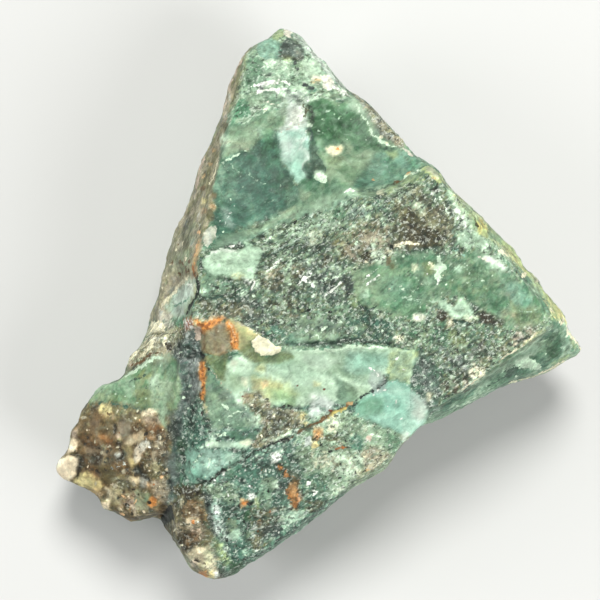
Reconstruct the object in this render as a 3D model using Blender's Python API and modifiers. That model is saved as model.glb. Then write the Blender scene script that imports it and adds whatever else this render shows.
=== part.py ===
"""Raw jade: one rough, broken piece of massive green jade, lying on its flat back.

The stone is built from the blocks that its fracture faces bound. Each block is the
convex hull of its corner points. The blocks are joined, trimmed to the outline that the
stone shows from straight above, hollowed where shell-shaped chips came off, and then
roughened. The back is one flat fracture, on which the stone rests.

Corner points are written as (u, v, z). u runs to the right and v runs down, in view
units, as seen from a point straight above the stone; z is the height in millimetres over
the surface that the stone rests on. The frame is +Z up, with +Y towards the apex.
"""

import math

import bmesh
import bpy
from mathutils import Vector, noise

# ---------------------------------------------------------------- driving dimensions
MM = 0.001
UNIT = 0.124  # mm that one view unit measures at the height REF_Z
REF_Z = 32.0  # mm, height of the broad upper face
EYE = 260.0  # mm, height of the view point over REF_Z
ORIGIN = (-2.573, 0.704)  # mm, the point (300, 300) in view units
CENTRE = (-0.267, -0.077)  # mm, middle of the finished bounding box, moved to the origin
VOXEL = 1.05  # mm, grain of the joined solid
ROUGH_COARSE = (0.55, 7.5)  # mm of relief, mm of its wavelength
ROUGH_FINE = (0.26, 2.6)
KEEP = 0.34  # share of the faces kept when the roughened solid is simplified
REST_Z = 0.0

# ------------------------------------------------------------------ the outer outline
OUTLINE = [
    (277, 27), (283, 26.5), (289, 29), (299, 34.5), (304, 40), (310, 47), (317, 56),
    (325, 63), (334, 73), (341, 82), (351, 91), (365, 99), (377, 109), (386, 121),
    (396, 131), (404, 139), (406, 145), (414, 154), (426, 161), (434, 167), (442, 174),
    (445, 182), (448, 186), (461, 198), (474, 209), (485, 219), (495, 230), (507, 239),
    (515, 247), (521, 256), (526, 266), (532, 272), (540, 279), (543, 284), (549, 295),
    (558, 305), (565, 314), (568, 323), (568, 329), (573, 333), (580, 341), (583, 349),
    (579, 355), (565, 363), (551, 371), (536, 377), (521, 380), (509, 384), (486, 396),
    (459, 411), (440, 422), (430, 425), (422, 427), (414, 435), (405, 442), (397, 453),
    (392, 462), (384, 470), (373, 476), (362, 484), (351, 488), (348, 493), (338, 499),
    (330, 505), (322, 513), (313, 519), (306, 525), (295, 533), (284, 540), (272, 549),
    (260, 558), (250, 564), (243, 568), (239, 575), (229, 579), (222, 582), (214, 583.5),
    (207, 581), (197, 576), (189, 569), (182, 558), (176, 546), (170, 536), (163, 530),
    (161, 524), (162, 519), (158, 518), (148, 517.5), (141, 520), (130, 523), (123, 518),
    (116, 513), (107, 510), (99, 507), (101, 502), (96, 496), (88, 491), (78, 487),
    (69, 484.5), (61, 481), (55, 474), (53, 467), (57, 461), (64, 456), (67, 450),
    (70, 442), (69.5, 433), (72, 428), (79, 422), (81, 411), (86, 405), (92, 394),
    (100, 386), (106, 383), (116, 381), (124, 376.5), (125, 370), (126, 362), (133, 353),
    (140, 345), (144, 336.5), (146, 328), (148.5, 316), (154, 303), (158, 292),
    (159, 282), (163, 268), (166, 254), (171, 241), (175, 229), (182, 217), (186, 205),
    (192, 193.5), (194, 186.5), (196, 175), (200, 161), (204.5, 150), (210, 141),
    (216, 128), (221, 113), (224.6, 96), (228, 83), (234.5, 70), (241, 56), (247, 48),
    (258, 42), (268, 36.7), (273.5, 30.3),
]

# ------------------------------------------------- blocks between the fracture faces
BLOCKS = {
    # the broad granular face, highest along the ledge at its upper left
    "broad_face": [
        (201, 251, 32.4), (216, 249, 33.0), (255, 238, 33.2), (300, 216, 33.3),
        (345, 201, 33.1), (385, 192, 32.8), (425, 172, 32.2), (434, 166, 31.8),
        (214, 236, 30.6), (300, 206, 30.0), (345, 190, 30.0), (400, 178, 29.6), (424, 163, 30.2),
        (556, 322, 28.4), (520, 352, 28.6), (434, 412, 27.2), (300, 400, 28.6),
        (190, 325, 31.0),
        (168, 233, 12), (158, 264, 12), (148, 292, 12), (140, 318, 12.5),
        (450, 174, 24), (464, 194, 22), (524, 250, 20), (566, 304, 19), (572, 326, 18),
        (440, 424, 20), (300, 440, 18),
        (196, 250, 0), (215, 225, 0), (300, 205, 0), (425, 222, 0), (508, 300, 0),
        (470, 376, 0), (300, 430, 0), (180, 350, 0),
    ],
    # the apex, which falls away from the ledge
    "apex": [
        (281, 30, 17.2), (262, 42, 18.4), (247, 50, 18.2), (299, 37, 17.0),
        (316, 58, 18.2), (334, 76, 19.8), (350, 93, 21.4), (384, 135, 25.4),
        (405, 152, 27.6), (428, 165, 29.2), (238, 100, 22.6), (226, 145, 25.4),
        (213, 195, 28.2), (202, 243, 30.6), (330, 215, 31.0),
        (243, 46, 13), (222, 66, 12), (216, 96, 12), (207, 128, 12), (192, 158, 11),
        (184, 190, 11), (168, 230, 11), (158, 262, 11),
        (283, 22, 12), (308, 38, 12), (330, 62, 12), (346, 80, 13), (370, 96, 14),
        (392, 119, 16), (412, 141, 19), (440, 163, 23), (452, 182, 23),
        (268, 82, 5.5), (300, 86, 5.0), (352, 138, 3.0), (425, 205, 0), (400, 260, 0),
        (196, 262, 0), (215, 190, 0), (238, 122, 3.5), (250, 165, 0), (350, 180, 0),
    ],
    # the lower part, a pale shell-like scar over a granular slope
    "lower_part": [
        (190, 318, 31.6), (225, 320, 32.0), (265, 343, 31.8), (320, 349, 31.6),
        (414, 348, 30.6), (418, 382, 28.8), (431, 407, 27.1),
        (215, 480, 26.6), (290, 440, 27.6), (345, 405, 28.6),
        (180, 500, 24.6), (176, 540, 22), (190, 562, 21), (214, 580, 20),
        (240, 566, 20.6), (283, 538, 21.6), (333, 500, 22.8), (375, 472, 23.4),
        (398, 450, 25.1), (427, 424, 26.2), (172, 420, 26.2), (170, 480, 24.4),
        (178, 350, 28.6),
        (160, 530, 13), (180, 569, 12), (214, 592, 11), (245, 580, 11), (300, 540, 12),
        (345, 508, 13), (390, 480, 14), (412, 452, 15), (440, 430, 18),
        (198, 480, 0), (226, 538, 0), (262, 522, 0), (366, 446, 0), (405, 390, 0),
        (200, 380, 0),
    ],
    # the lobe at the lower left, with its pebbly brown end
    "left_lobe": [
        (126, 378, 22.0), (158, 361, 24.4), (178, 370, 26.4), (172, 440, 25.4),
        (166, 490, 23.6), (158, 512, 21), (130, 520, 18), (100, 503, 17),
        (75, 484, 16), (58, 474, 15.4), (60, 456, 16.4), (72, 430, 18.6),
        (84, 405, 20.2), (104, 385, 21.4),
        (118, 370, 13), (96, 378, 12), (78, 402, 11), (64, 430, 10), (48, 456, 10),
        (48, 477, 10), (70, 494, 10), (94, 514, 10), (128, 529, 11), (160, 526, 12),
        (150, 390, 1.5), (112, 420, 2.5), (98, 456, 4), (126, 492, 3), (175, 486, 0),
        (170, 400, 0), (215, 400, 0), (215, 480, 0), (200, 440, 22),
    ],
    # the worn shoulder between the lobe and the left side
    "left_shoulder": [
        (190, 320, 29.4), (160, 334, 25.2), (143, 344, 21.4), (128, 361, 20.6),
        (140, 373, 22.4), (176, 376, 26.4), (192, 362, 27.6),
        (138, 328, 12), (118, 358, 12), (118, 380, 12),
        (172, 322, 0), (146, 368, 2), (160, 400, 0), (230, 330, 0), (230, 410, 0),
        (205, 320, 25), (205, 390, 25),
    ],
    # the second layer, which shows below the right corner
    "right_wedge": [
        (434, 416, 25.6), (556, 331, 24.8), (567, 317, 23.8), (584, 342, 19.4),
        (582, 353, 18.4), (562, 364, 18.2), (530, 377, 18.6), (500, 387, 19.2),
        (459, 411, 20.6), (432, 425, 21.2),
        (592, 350, 13), (562, 374, 10), (520, 390, 9), (460, 420, 9),
        (440, 384, 0), (520, 340, 1.5), (480, 300, 0), (400, 300, 0),
    ],
    # a low rib on the back, beside the flat it rests on
    "back_rib": [
        (240, 170, 6), (340, 150, 8), (455, 240, 7), (525, 316, 9), (300, 470, 6),
        (190, 440, 6), (170, 300, 7),
        (246, 210, -0.8), (352, 200, -0.8), (462, 312, -0.8), (392, 398, -0.8),
        (262, 486, -0.8), (206, 430, -0.8), (214, 300, -0.8),
    ],
}

# shell-shaped hollows: centre (u, v, z) on the surface, outward direction, half width, depth
HOLLOWS = {
    "teal_hollow": ((270, 186, 27.6), (-0.1, 0.3, 1), 8.6, 1.9),
    "green_hollow": ((358, 140, 26.2), (0.1, 0.4, 1), 6.0, 1.5),
    "pale_scar": ((292, 402, 29.4), (0.1, -0.2, 1), 9.5, 1.3),
    "side_chip": ((176, 292, 22.0), (-0.9, 0.1, 0.45), 3.4, 0.8),
    "back_chip_left": ((128, 470, 4.0), (-0.5, -0.2, -1), 8.0, 1.3),
    "back_chip_right": ((520, 345, 5.0), (0.6, -0.4, -1), 8.0, 1.4),
    "back_chip_apex": ((300, 60, 5.0), (0.0, 0.9, -1), 7.0, 1.2),
}
# the groove between the left lobe and the lower part: from, to, radius
GROOVE = ((189, 330, 32.4), (160, 540, 23.6), 2.5)


def place(u, v, z):
    """The point in metres of a corner written in view units and millimetres."""
    k = UNIT * (REF_Z + EYE - z) / EYE
    return Vector(((u - 300) * k + ORIGIN[0], (300 - v) * k + ORIGIN[1], z)) * MM


def new_object(name, mesh, collection):
    obj = bpy.data.objects.new(name, mesh)
    collection.objects.link(obj)
    return obj


def hull(name, corners, collection):
    """A block: the convex hull of its corner points."""
    bm = bmesh.new()
    for corner in corners:
        bm.verts.new(place(*corner))
    made = bmesh.ops.convex_hull(bm, input=bm.verts[:])
    spare = {e for e in made["geom_interior"] + made["geom_unused"] if e.is_valid}
    bmesh.ops.delete(
        bm, geom=[e for e in spare if isinstance(e, bmesh.types.BMVert)], context="VERTS"
    )
    bmesh.ops.recalc_face_normals(bm, faces=bm.faces[:])
    mesh = bpy.data.meshes.new(name)
    bm.to_mesh(mesh)
    bm.free()
    return new_object(name, mesh, collection)


def outline_prism(collection):
    """The outline as a filled curve with a thickness, made a mesh and tapered along the lines of view."""
    curve = bpy.data.curves.new("outline", "CURVE")
    curve.dimensions, curve.fill_mode, curve.extrude = "2D", "BOTH", 0.03
    spline = curve.splines.new("POLY")
    spline.points.add(len(OUTLINE) - 1)
    for point, (u, v) in zip(spline.points, OUTLINE):
        point.co = (u, -v, 0, 1)
    spline.use_cyclic_u = True
    flat = new_object("outline_curve", curve, collection)
    graph = bpy.context.evaluated_depsgraph_get()
    mesh = bpy.data.meshes.new_from_object(flat.evaluated_get(graph))
    bpy.data.objects.remove(flat)
    bm = bmesh.new()
    bm.from_mesh(mesh)
    bmesh.ops.remove_doubles(bm, verts=bm.verts[:], dist=1e-4)
    for vert in bm.verts:
        vert.co = place(vert.co.x, -vert.co.y, 40.0 if vert.co.z > 0 else -6.0)
    bmesh.ops.recalc_face_normals(bm, faces=bm.faces[:])
    bm.to_mesh(mesh)
    bm.free()
    return new_object("outline", mesh, collection)


def ball(name, centre, outward, half_width, depth, collection):
    """The ball whose cap cuts a hollow of that half width and depth, from outside."""
    radius = (half_width**2 + depth**2) / (2 * depth)
    out = Vector(outward).normalized()
    bm = bmesh.new()
    bmesh.ops.create_uvsphere(bm, u_segments=56, v_segments=40, radius=radius * MM)
    bmesh.ops.translate(bm, verts=bm.verts[:], vec=place(*centre) + out * (radius - depth) * MM)
    mesh = bpy.data.meshes.new(name)
    bm.to_mesh(mesh)
    bm.free()
    return new_object(name, mesh, collection)


def rod(name, start, end, radius, collection):
    """A rod from start to end that cuts the groove."""
    a, b = place(*start), place(*end)
    bm = bmesh.new()
    bmesh.ops.create_cone(
        bm, cap_ends=True, segments=20, radius1=radius * MM, radius2=radius * MM, depth=(b - a).length
    )
    mesh = bpy.data.meshes.new(name)
    bm.to_mesh(mesh)
    bm.free()
    obj = new_object(name, mesh, collection)
    obj.rotation_mode = "QUATERNION"
    obj.rotation_quaternion = (b - a).to_track_quat("Z", "Y")
    obj.location = (a + b) / 2
    return obj


def boolean(obj, other, operation):
    modifier = obj.modifiers.new(other.name, "BOOLEAN")
    modifier.object, modifier.operation, modifier.solver = other, operation, "EXACT"


def as_guide(obj):
    obj.hide_render, obj.display_type = True, "WIRE"
    return obj


def evaluated(obj):
    bpy.context.view_layer.update()
    graph = bpy.context.evaluated_depsgraph_get()
    return bpy.data.meshes.new_from_object(obj.evaluated_get(graph))


def roughen(mesh):
    """Moves each point along its normal by two sizes of broken relief, less near the rest face."""
    moved = []
    for vert in mesh.vertices:
        p = vert.co / MM
        push = 0.0
        for k, (relief, wave) in enumerate((ROUGH_COARSE, ROUGH_FINE)):
            q = p / wave + Vector((11.3, 4.7, 7.9)) * (k + 1)
            push += relief * (noise.ridged_multi_fractal(q, 0.9, 2.1, 3, 1.0, 2.0, noise_basis="PERLIN_ORIGINAL") * 0.5 - 0.9)
            push += 0.5 * relief * noise.noise(q * 0.6)
        upward = max(0.0, vert.normal.z)
        push *= 1.0 - 0.62 * upward  # the broken upper faces are flatter than the sides
        fade = min(1.0, max(0.0, p.z / 2.0))
        moved.append(vert.co + vert.normal * push * fade * MM)
    for vert, co in zip(mesh.vertices, moved):
        vert.co = co


def jade_material():
    material = bpy.data.materials.new("raw_jade")
    material.use_nodes = True
    shader = material.node_tree.nodes["Principled BSDF"]
    shader.inputs["Base Color"].default_value = (0.19, 0.32, 0.25, 1)
    shader.inputs["Roughness"].default_value = 0.55
    shader.inputs["Metallic"].default_value = 0.0
    return material


def build():
    for obj in list(bpy.data.objects):
        bpy.data.objects.remove(obj)
    scene = bpy.context.scene.collection
    stone_set = bpy.data.collections.new("raw_jade")
    guide_set = bpy.data.collections.new("raw_jade_cutters")
    scene.children.link(stone_set)
    scene.children.link(guide_set)

    blocks = [as_guide(hull(name, corners, guide_set)) for name, corners in BLOCKS.items()]
    joined = as_guide(new_object("joined", blocks[0].data.copy(), guide_set))
    for block in blocks[1:]:
        boolean(joined, block, "UNION")
    boolean(joined, as_guide(outline_prism(guide_set)), "INTERSECT")
    for name, hollow in HOLLOWS.items():
        boolean(joined, as_guide(ball(name, *hollow, guide_set)), "DIFFERENCE")
    boolean(joined, as_guide(rod("groove", *GROOVE, guide_set)), "DIFFERENCE")

    # an even grain, then the broken relief
    grained = as_guide(new_object("grained", evaluated(joined), guide_set))
    remesh = grained.modifiers.new("grain", "REMESH")
    remesh.mode, remesh.voxel_size, remesh.adaptivity = "VOXEL", VOXEL * MM, 0.0
    rough = evaluated(grained)
    roughen(rough)

    # fewer faces, and the flat fracture on which it rests
    simpler = as_guide(new_object("simpler", rough, guide_set))
    decimate = simpler.modifiers.new("fewer_faces", "DECIMATE")
    decimate.ratio, decimate.use_collapse_triangulate = KEEP, True
    mesh = evaluated(simpler)
    bm = bmesh.new()
    bm.from_mesh(mesh)
    lowest = min(vert.co.z for vert in bm.verts)
    cut = max(lowest, 0) + 0.45 * MM
    made = bmesh.ops.bisect_plane(
        bm, geom=bm.verts[:] + bm.edges[:] + bm.faces[:], plane_co=(0, 0, cut),
        plane_no=(0, 0, -1), clear_outer=True, dist=1e-7,
    )
    rim = [e for e in made["geom_cut"] if isinstance(e, bmesh.types.BMEdge)]
    bmesh.ops.contextual_create(bm, geom=rim)
    bmesh.ops.translate(bm, verts=bm.verts[:], vec=(-CENTRE[0] * MM, -CENTRE[1] * MM, REST_Z * MM - cut))
    bmesh.ops.triangulate(bm, faces=bm.faces[:])
    bmesh.ops.recalc_face_normals(bm, faces=bm.faces[:])
    stone_mesh = bpy.data.meshes.new("raw_jade")
    bm.to_mesh(stone_mesh)
    bm.free()
    for guide in (joined, grained, simpler):
        bpy.data.objects.remove(guide)

    stone = new_object("raw_jade", stone_mesh, stone_set)
    stone.data.materials.append(jade_material())
    stone.data.shade_smooth()
    stone.data.set_sharp_from_angle(angle=math.radians(28))
    return stone


build()
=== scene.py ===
"""Raw jade: the finished look of one rough, broken piece of massive green jade.

The stone lies on its flat back, with its broad face up, and the camera looks straight
down on it. Its body is built from the blocks between its fracture faces, as the CAD part
is, with an even, fine grain. Layers, chips, cracks, ridges and crystal grains are then
modelled into the surface, and the same marks carry the colour: each mark is an area, a
line or a spot of one mineral, drawn at its place.

Places are written as (u, v): u runs right and v runs down, in view units, as seen from
the camera. Heights and sizes are in millimetres.
"""

import math

import bmesh
import bpy
import numpy as np
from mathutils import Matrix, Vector, noise


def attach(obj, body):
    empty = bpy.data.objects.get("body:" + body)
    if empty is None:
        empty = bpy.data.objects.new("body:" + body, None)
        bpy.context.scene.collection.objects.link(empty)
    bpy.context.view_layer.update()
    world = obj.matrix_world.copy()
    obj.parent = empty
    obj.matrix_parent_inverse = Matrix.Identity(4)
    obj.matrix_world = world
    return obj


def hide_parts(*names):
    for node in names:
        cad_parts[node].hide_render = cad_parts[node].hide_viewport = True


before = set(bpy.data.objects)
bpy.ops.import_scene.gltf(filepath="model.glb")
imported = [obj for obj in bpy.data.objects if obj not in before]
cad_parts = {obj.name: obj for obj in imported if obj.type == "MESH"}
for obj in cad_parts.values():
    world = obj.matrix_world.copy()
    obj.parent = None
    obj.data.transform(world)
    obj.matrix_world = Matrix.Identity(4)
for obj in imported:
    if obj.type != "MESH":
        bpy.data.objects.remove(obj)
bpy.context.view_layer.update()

# ------------------------------------------------------------------ driving dimensions
MM = 0.001
UNIT = 0.124  # mm that one view unit measures at the height REF_Z
REF_Z = 32.0  # mm, height of the broad upper face
EYE = 260.0  # mm, height of the camera over REF_Z
ORIGIN = (-2.573, 0.704)  # mm, the point (300, 300) in view units
CENTRE = (-0.267, -0.077)  # mm, middle of the bounding box, moved to the origin
REST_CUT = 0.45  # mm that the flat fracture takes off the back
VOXEL = 0.53  # mm, grain of the joined solid; the faces that the camera sees are half that
ROUGH_COARSE = (0.55, 7.5)  # mm of relief, mm of its wavelength
ROUGH_FINE = (0.26, 2.6)
SPREAD = 2.0  # how far the tones of a granular stone are apart

# ------------------------------------------------------------------- the outer outline
OUTLINE = [
    (277, 27), (283, 26.5), (289, 29), (299, 34.5), (304, 40), (310, 47), (317, 56),
    (325, 63), (334, 73), (341, 82), (351, 91), (365, 99), (377, 109), (386, 121),
    (396, 131), (404, 139), (406, 145), (414, 154), (426, 161), (434, 167), (442, 174),
    (445, 182), (448, 186), (461, 198), (474, 209), (485, 219), (495, 230), (507, 239),
    (515, 247), (521, 256), (526, 266), (532, 272), (540, 279), (543, 284), (549, 295),
    (558, 305), (565, 314), (568, 323), (568, 329), (573, 333), (580, 341), (583, 349),
    (579, 355), (565, 363), (551, 371), (536, 377), (521, 380), (509, 384), (486, 396),
    (459, 411), (440, 422), (430, 425), (422, 427), (414, 435), (405, 442), (397, 453),
    (392, 462), (384, 470), (373, 476), (362, 484), (351, 488), (348, 493), (338, 499),
    (330, 505), (322, 513), (313, 519), (306, 525), (295, 533), (284, 540), (272, 549),
    (260, 558), (250, 564), (243, 568), (239, 575), (229, 579), (222, 582), (214, 583.5),
    (207, 581), (197, 576), (189, 569), (182, 558), (176, 546), (170, 536), (163, 530),
    (161, 524), (162, 519), (158, 518), (148, 517.5), (141, 520), (130, 523), (123, 518),
    (116, 513), (107, 510), (99, 507), (101, 502), (96, 496), (88, 491), (78, 487),
    (69, 484.5), (61, 481), (55, 474), (53, 467), (57, 461), (64, 456), (67, 450),
    (70, 442), (69.5, 433), (72, 428), (79, 422), (81, 411), (86, 405), (92, 394),
    (100, 386), (106, 383), (116, 381), (124, 376.5), (125, 370), (126, 362), (133, 353),
    (140, 345), (144, 336.5), (146, 328), (148.5, 316), (154, 303), (158, 292),
    (159, 282), (163, 268), (166, 254), (171, 241), (175, 229), (182, 217), (186, 205),
    (192, 193.5), (194, 186.5), (196, 175), (200, 161), (204.5, 150), (210, 141),
    (216, 128), (221, 113), (224.6, 96), (228, 83), (234.5, 70), (241, 56), (247, 48),
    (258, 42), (268, 36.7), (273.5, 30.3),
]

# ------------------------------------------------- blocks between the fracture faces
BLOCKS = {
    # the broad granular face, highest along the ledge at its upper left
    "broad_face": [
        (201, 251, 32.4), (216, 249, 33.0), (255, 238, 33.2), (300, 216, 33.3),
        (345, 201, 33.1), (385, 192, 32.8), (425, 172, 32.2), (434, 166, 31.8),
        (214, 236, 30.6), (300, 206, 30.0), (345, 190, 30.0), (400, 178, 29.6), (424, 163, 30.2),
        (556, 322, 28.4), (520, 352, 28.6), (434, 412, 27.2), (300, 400, 28.6),
        (190, 325, 31.0),
        (168, 233, 12), (158, 264, 12), (148, 292, 12), (140, 318, 12.5),
        (450, 174, 24), (464, 194, 22), (524, 250, 20), (566, 304, 19), (572, 326, 18),
        (440, 424, 20), (300, 440, 18),
        (196, 250, 0), (215, 225, 0), (300, 205, 0), (425, 222, 0), (508, 300, 0),
        (470, 376, 0), (300, 430, 0), (180, 350, 0),
    ],
    # the apex, which falls away from the ledge
    "apex": [
        (281, 30, 17.2), (262, 42, 18.4), (247, 50, 18.2), (299, 37, 17.0),
        (316, 58, 18.2), (334, 76, 19.8), (350, 93, 21.4), (384, 135, 25.4),
        (405, 152, 27.6), (428, 165, 29.2), (238, 100, 22.6), (226, 145, 25.4),
        (213, 195, 28.2), (202, 243, 30.6), (330, 215, 31.0),
        (243, 46, 13), (222, 66, 12), (216, 96, 12), (207, 128, 12), (192, 158, 11),
        (184, 190, 11), (168, 230, 11), (158, 262, 11),
        (283, 22, 12), (308, 38, 12), (330, 62, 12), (346, 80, 13), (370, 96, 14),
        (392, 119, 16), (412, 141, 19), (440, 163, 23), (452, 182, 23),
        (268, 82, 5.5), (300, 86, 5.0), (352, 138, 3.0), (425, 205, 0), (400, 260, 0),
        (196, 262, 0), (215, 190, 0), (238, 122, 3.5), (250, 165, 0), (350, 180, 0),
    ],
    # the lower part, a pale shell-like scar over a granular slope
    "lower_part": [
        (190, 318, 31.6), (225, 320, 32.0), (265, 343, 31.8), (320, 349, 31.6),
        (414, 348, 30.6), (418, 382, 28.8), (431, 407, 27.1),
        (215, 480, 26.6), (290, 440, 27.6), (345, 405, 28.6),
        (180, 500, 24.6), (176, 540, 22), (190, 562, 21), (214, 580, 20),
        (240, 566, 20.6), (283, 538, 21.6), (333, 500, 22.8), (375, 472, 23.4),
        (398, 450, 25.1), (427, 424, 26.2), (172, 420, 26.2), (170, 480, 24.4),
        (178, 350, 28.6),
        (160, 530, 13), (180, 569, 12), (214, 592, 11), (245, 580, 11), (300, 540, 12),
        (345, 508, 13), (390, 480, 14), (412, 452, 15), (440, 430, 18),
        (198, 480, 0), (226, 538, 0), (262, 522, 0), (366, 446, 0), (405, 390, 0),
        (200, 380, 0),
    ],
    # the lobe at the lower left, with its pebbly brown end
    "left_lobe": [
        (126, 378, 22.0), (158, 361, 24.4), (178, 370, 26.4), (172, 440, 25.4),
        (166, 490, 23.6), (158, 512, 21), (130, 520, 18), (100, 503, 17),
        (75, 484, 16), (58, 474, 15.4), (60, 456, 16.4), (72, 430, 18.6),
        (84, 405, 20.2), (104, 385, 21.4),
        (118, 370, 13), (96, 378, 12), (78, 402, 11), (64, 430, 10), (48, 456, 10),
        (48, 477, 10), (70, 494, 10), (94, 514, 10), (128, 529, 11), (160, 526, 12),
        (150, 390, 1.5), (112, 420, 2.5), (98, 456, 4), (126, 492, 3), (175, 486, 0),
        (170, 400, 0), (215, 400, 0), (215, 480, 0), (200, 440, 22),
    ],
    # the worn shoulder between the lobe and the left side
    "left_shoulder": [
        (190, 320, 29.4), (160, 334, 25.2), (143, 344, 21.4), (128, 361, 20.6),
        (140, 373, 22.4), (176, 376, 26.4), (192, 362, 27.6),
        (138, 328, 12), (118, 358, 12), (118, 380, 12),
        (172, 322, 0), (146, 368, 2), (160, 400, 0), (230, 330, 0), (230, 410, 0),
        (205, 320, 25), (205, 390, 25),
    ],
    # the second layer, which shows below the right corner
    "right_wedge": [
        (434, 416, 25.6), (556, 331, 24.8), (567, 317, 23.8), (584, 342, 19.4),
        (582, 353, 18.4), (562, 364, 18.2), (530, 377, 18.6), (500, 387, 19.2),
        (459, 411, 20.6), (432, 425, 21.2),
        (592, 350, 13), (562, 374, 10), (520, 390, 9), (460, 420, 9),
        (440, 384, 0), (520, 340, 1.5), (480, 300, 0), (400, 300, 0),
    ],
    # a low rib on the back, beside the flat it rests on
    "back_rib": [
        (240, 170, 6), (340, 150, 8), (455, 240, 7), (525, 316, 9), (300, 470, 6),
        (190, 440, 6), (170, 300, 7),
        (246, 210, -0.8), (352, 200, -0.8), (462, 312, -0.8), (392, 398, -0.8),
        (262, 486, -0.8), (206, 430, -0.8), (214, 300, -0.8),
    ],
}

# shell-shaped hollows: centre (u, v, z) on the surface, outward direction, half width, depth
HOLLOWS = {
    "teal_hollow": ((270, 186, 27.6), (-0.1, 0.3, 1), 8.6, 1.9),
    "green_hollow": ((358, 140, 26.2), (0.1, 0.4, 1), 6.0, 1.5),
    "pale_scar": ((292, 402, 29.4), (0.1, -0.2, 1), 9.5, 1.3),
    "side_chip": ((176, 292, 22.0), (-0.9, 0.1, 0.45), 3.4, 0.8),
    "back_chip_left": ((128, 470, 4.0), (-0.5, -0.2, -1), 8.0, 1.3),
    "back_chip_right": ((520, 345, 5.0), (0.6, -0.4, -1), 8.0, 1.4),
    "back_chip_apex": ((300, 60, 5.0), (0.0, 0.9, -1), 7.0, 1.2),
}
# the groove between the left lobe and the lower part: from, to, radius
GROOVE = ((189, 330, 32.4), (160, 540, 23.6), 2.5)

# ------------------------------------------------------------- colours of the minerals
# red, green and blue as they look in soft daylight, 0 to 255
COLOURS = {
    "jade_dark": (62, 88, 76), "jade_deep": (80, 122, 96), "jade_mid": (122, 152, 130),
    "sage": (142, 162, 134), "jade_light": (160, 186, 160), "mint": (178, 206, 184),
    "mint_pale": (205, 228, 205), "aqua": (158, 206, 188), "aqua_light": (190, 222, 206),
    "teal": (94, 138, 120), "teal_dark": (68, 106, 92), "teal_mint": (138, 178, 162),
    "emerald": (92, 142, 112), "slate": (98, 110, 106), "slate_violet": (116, 126, 122),
    "slate_dark": (66, 76, 74), "lilac": (166, 176, 174), "lilac_pale": (206, 216, 210),
    "white": (240, 246, 238), "cream": (236, 232, 205), "cream_yellow": (226, 216, 162),
    "yellow": (206, 196, 120), "yellow_green": (190, 205, 150), "olive_green": (134, 146, 104),
    "olive": (130, 130, 90), "olive_dark": (86, 86, 60), "khaki": (150, 148, 114),
    "beige": (190, 184, 160), "tan": (192, 166, 126), "brown": (108, 86, 58),
    "brown_dark": (60, 54, 42), "rust": (158, 104, 58), "orange": (206, 140, 76),
    "peach": (230, 192, 148), "red_brown": (120, 60, 40), "black_green": (36, 44, 38),
    "pink_beige": (202, 187, 172), "pink_white": (228, 226, 212), "taupe": (148, 142, 126),
    "bone": (238, 224, 196),
    "green_dark": (58, 92, 66), "green": (84, 128, 94), "green_light": (128, 166, 130),
}

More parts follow.
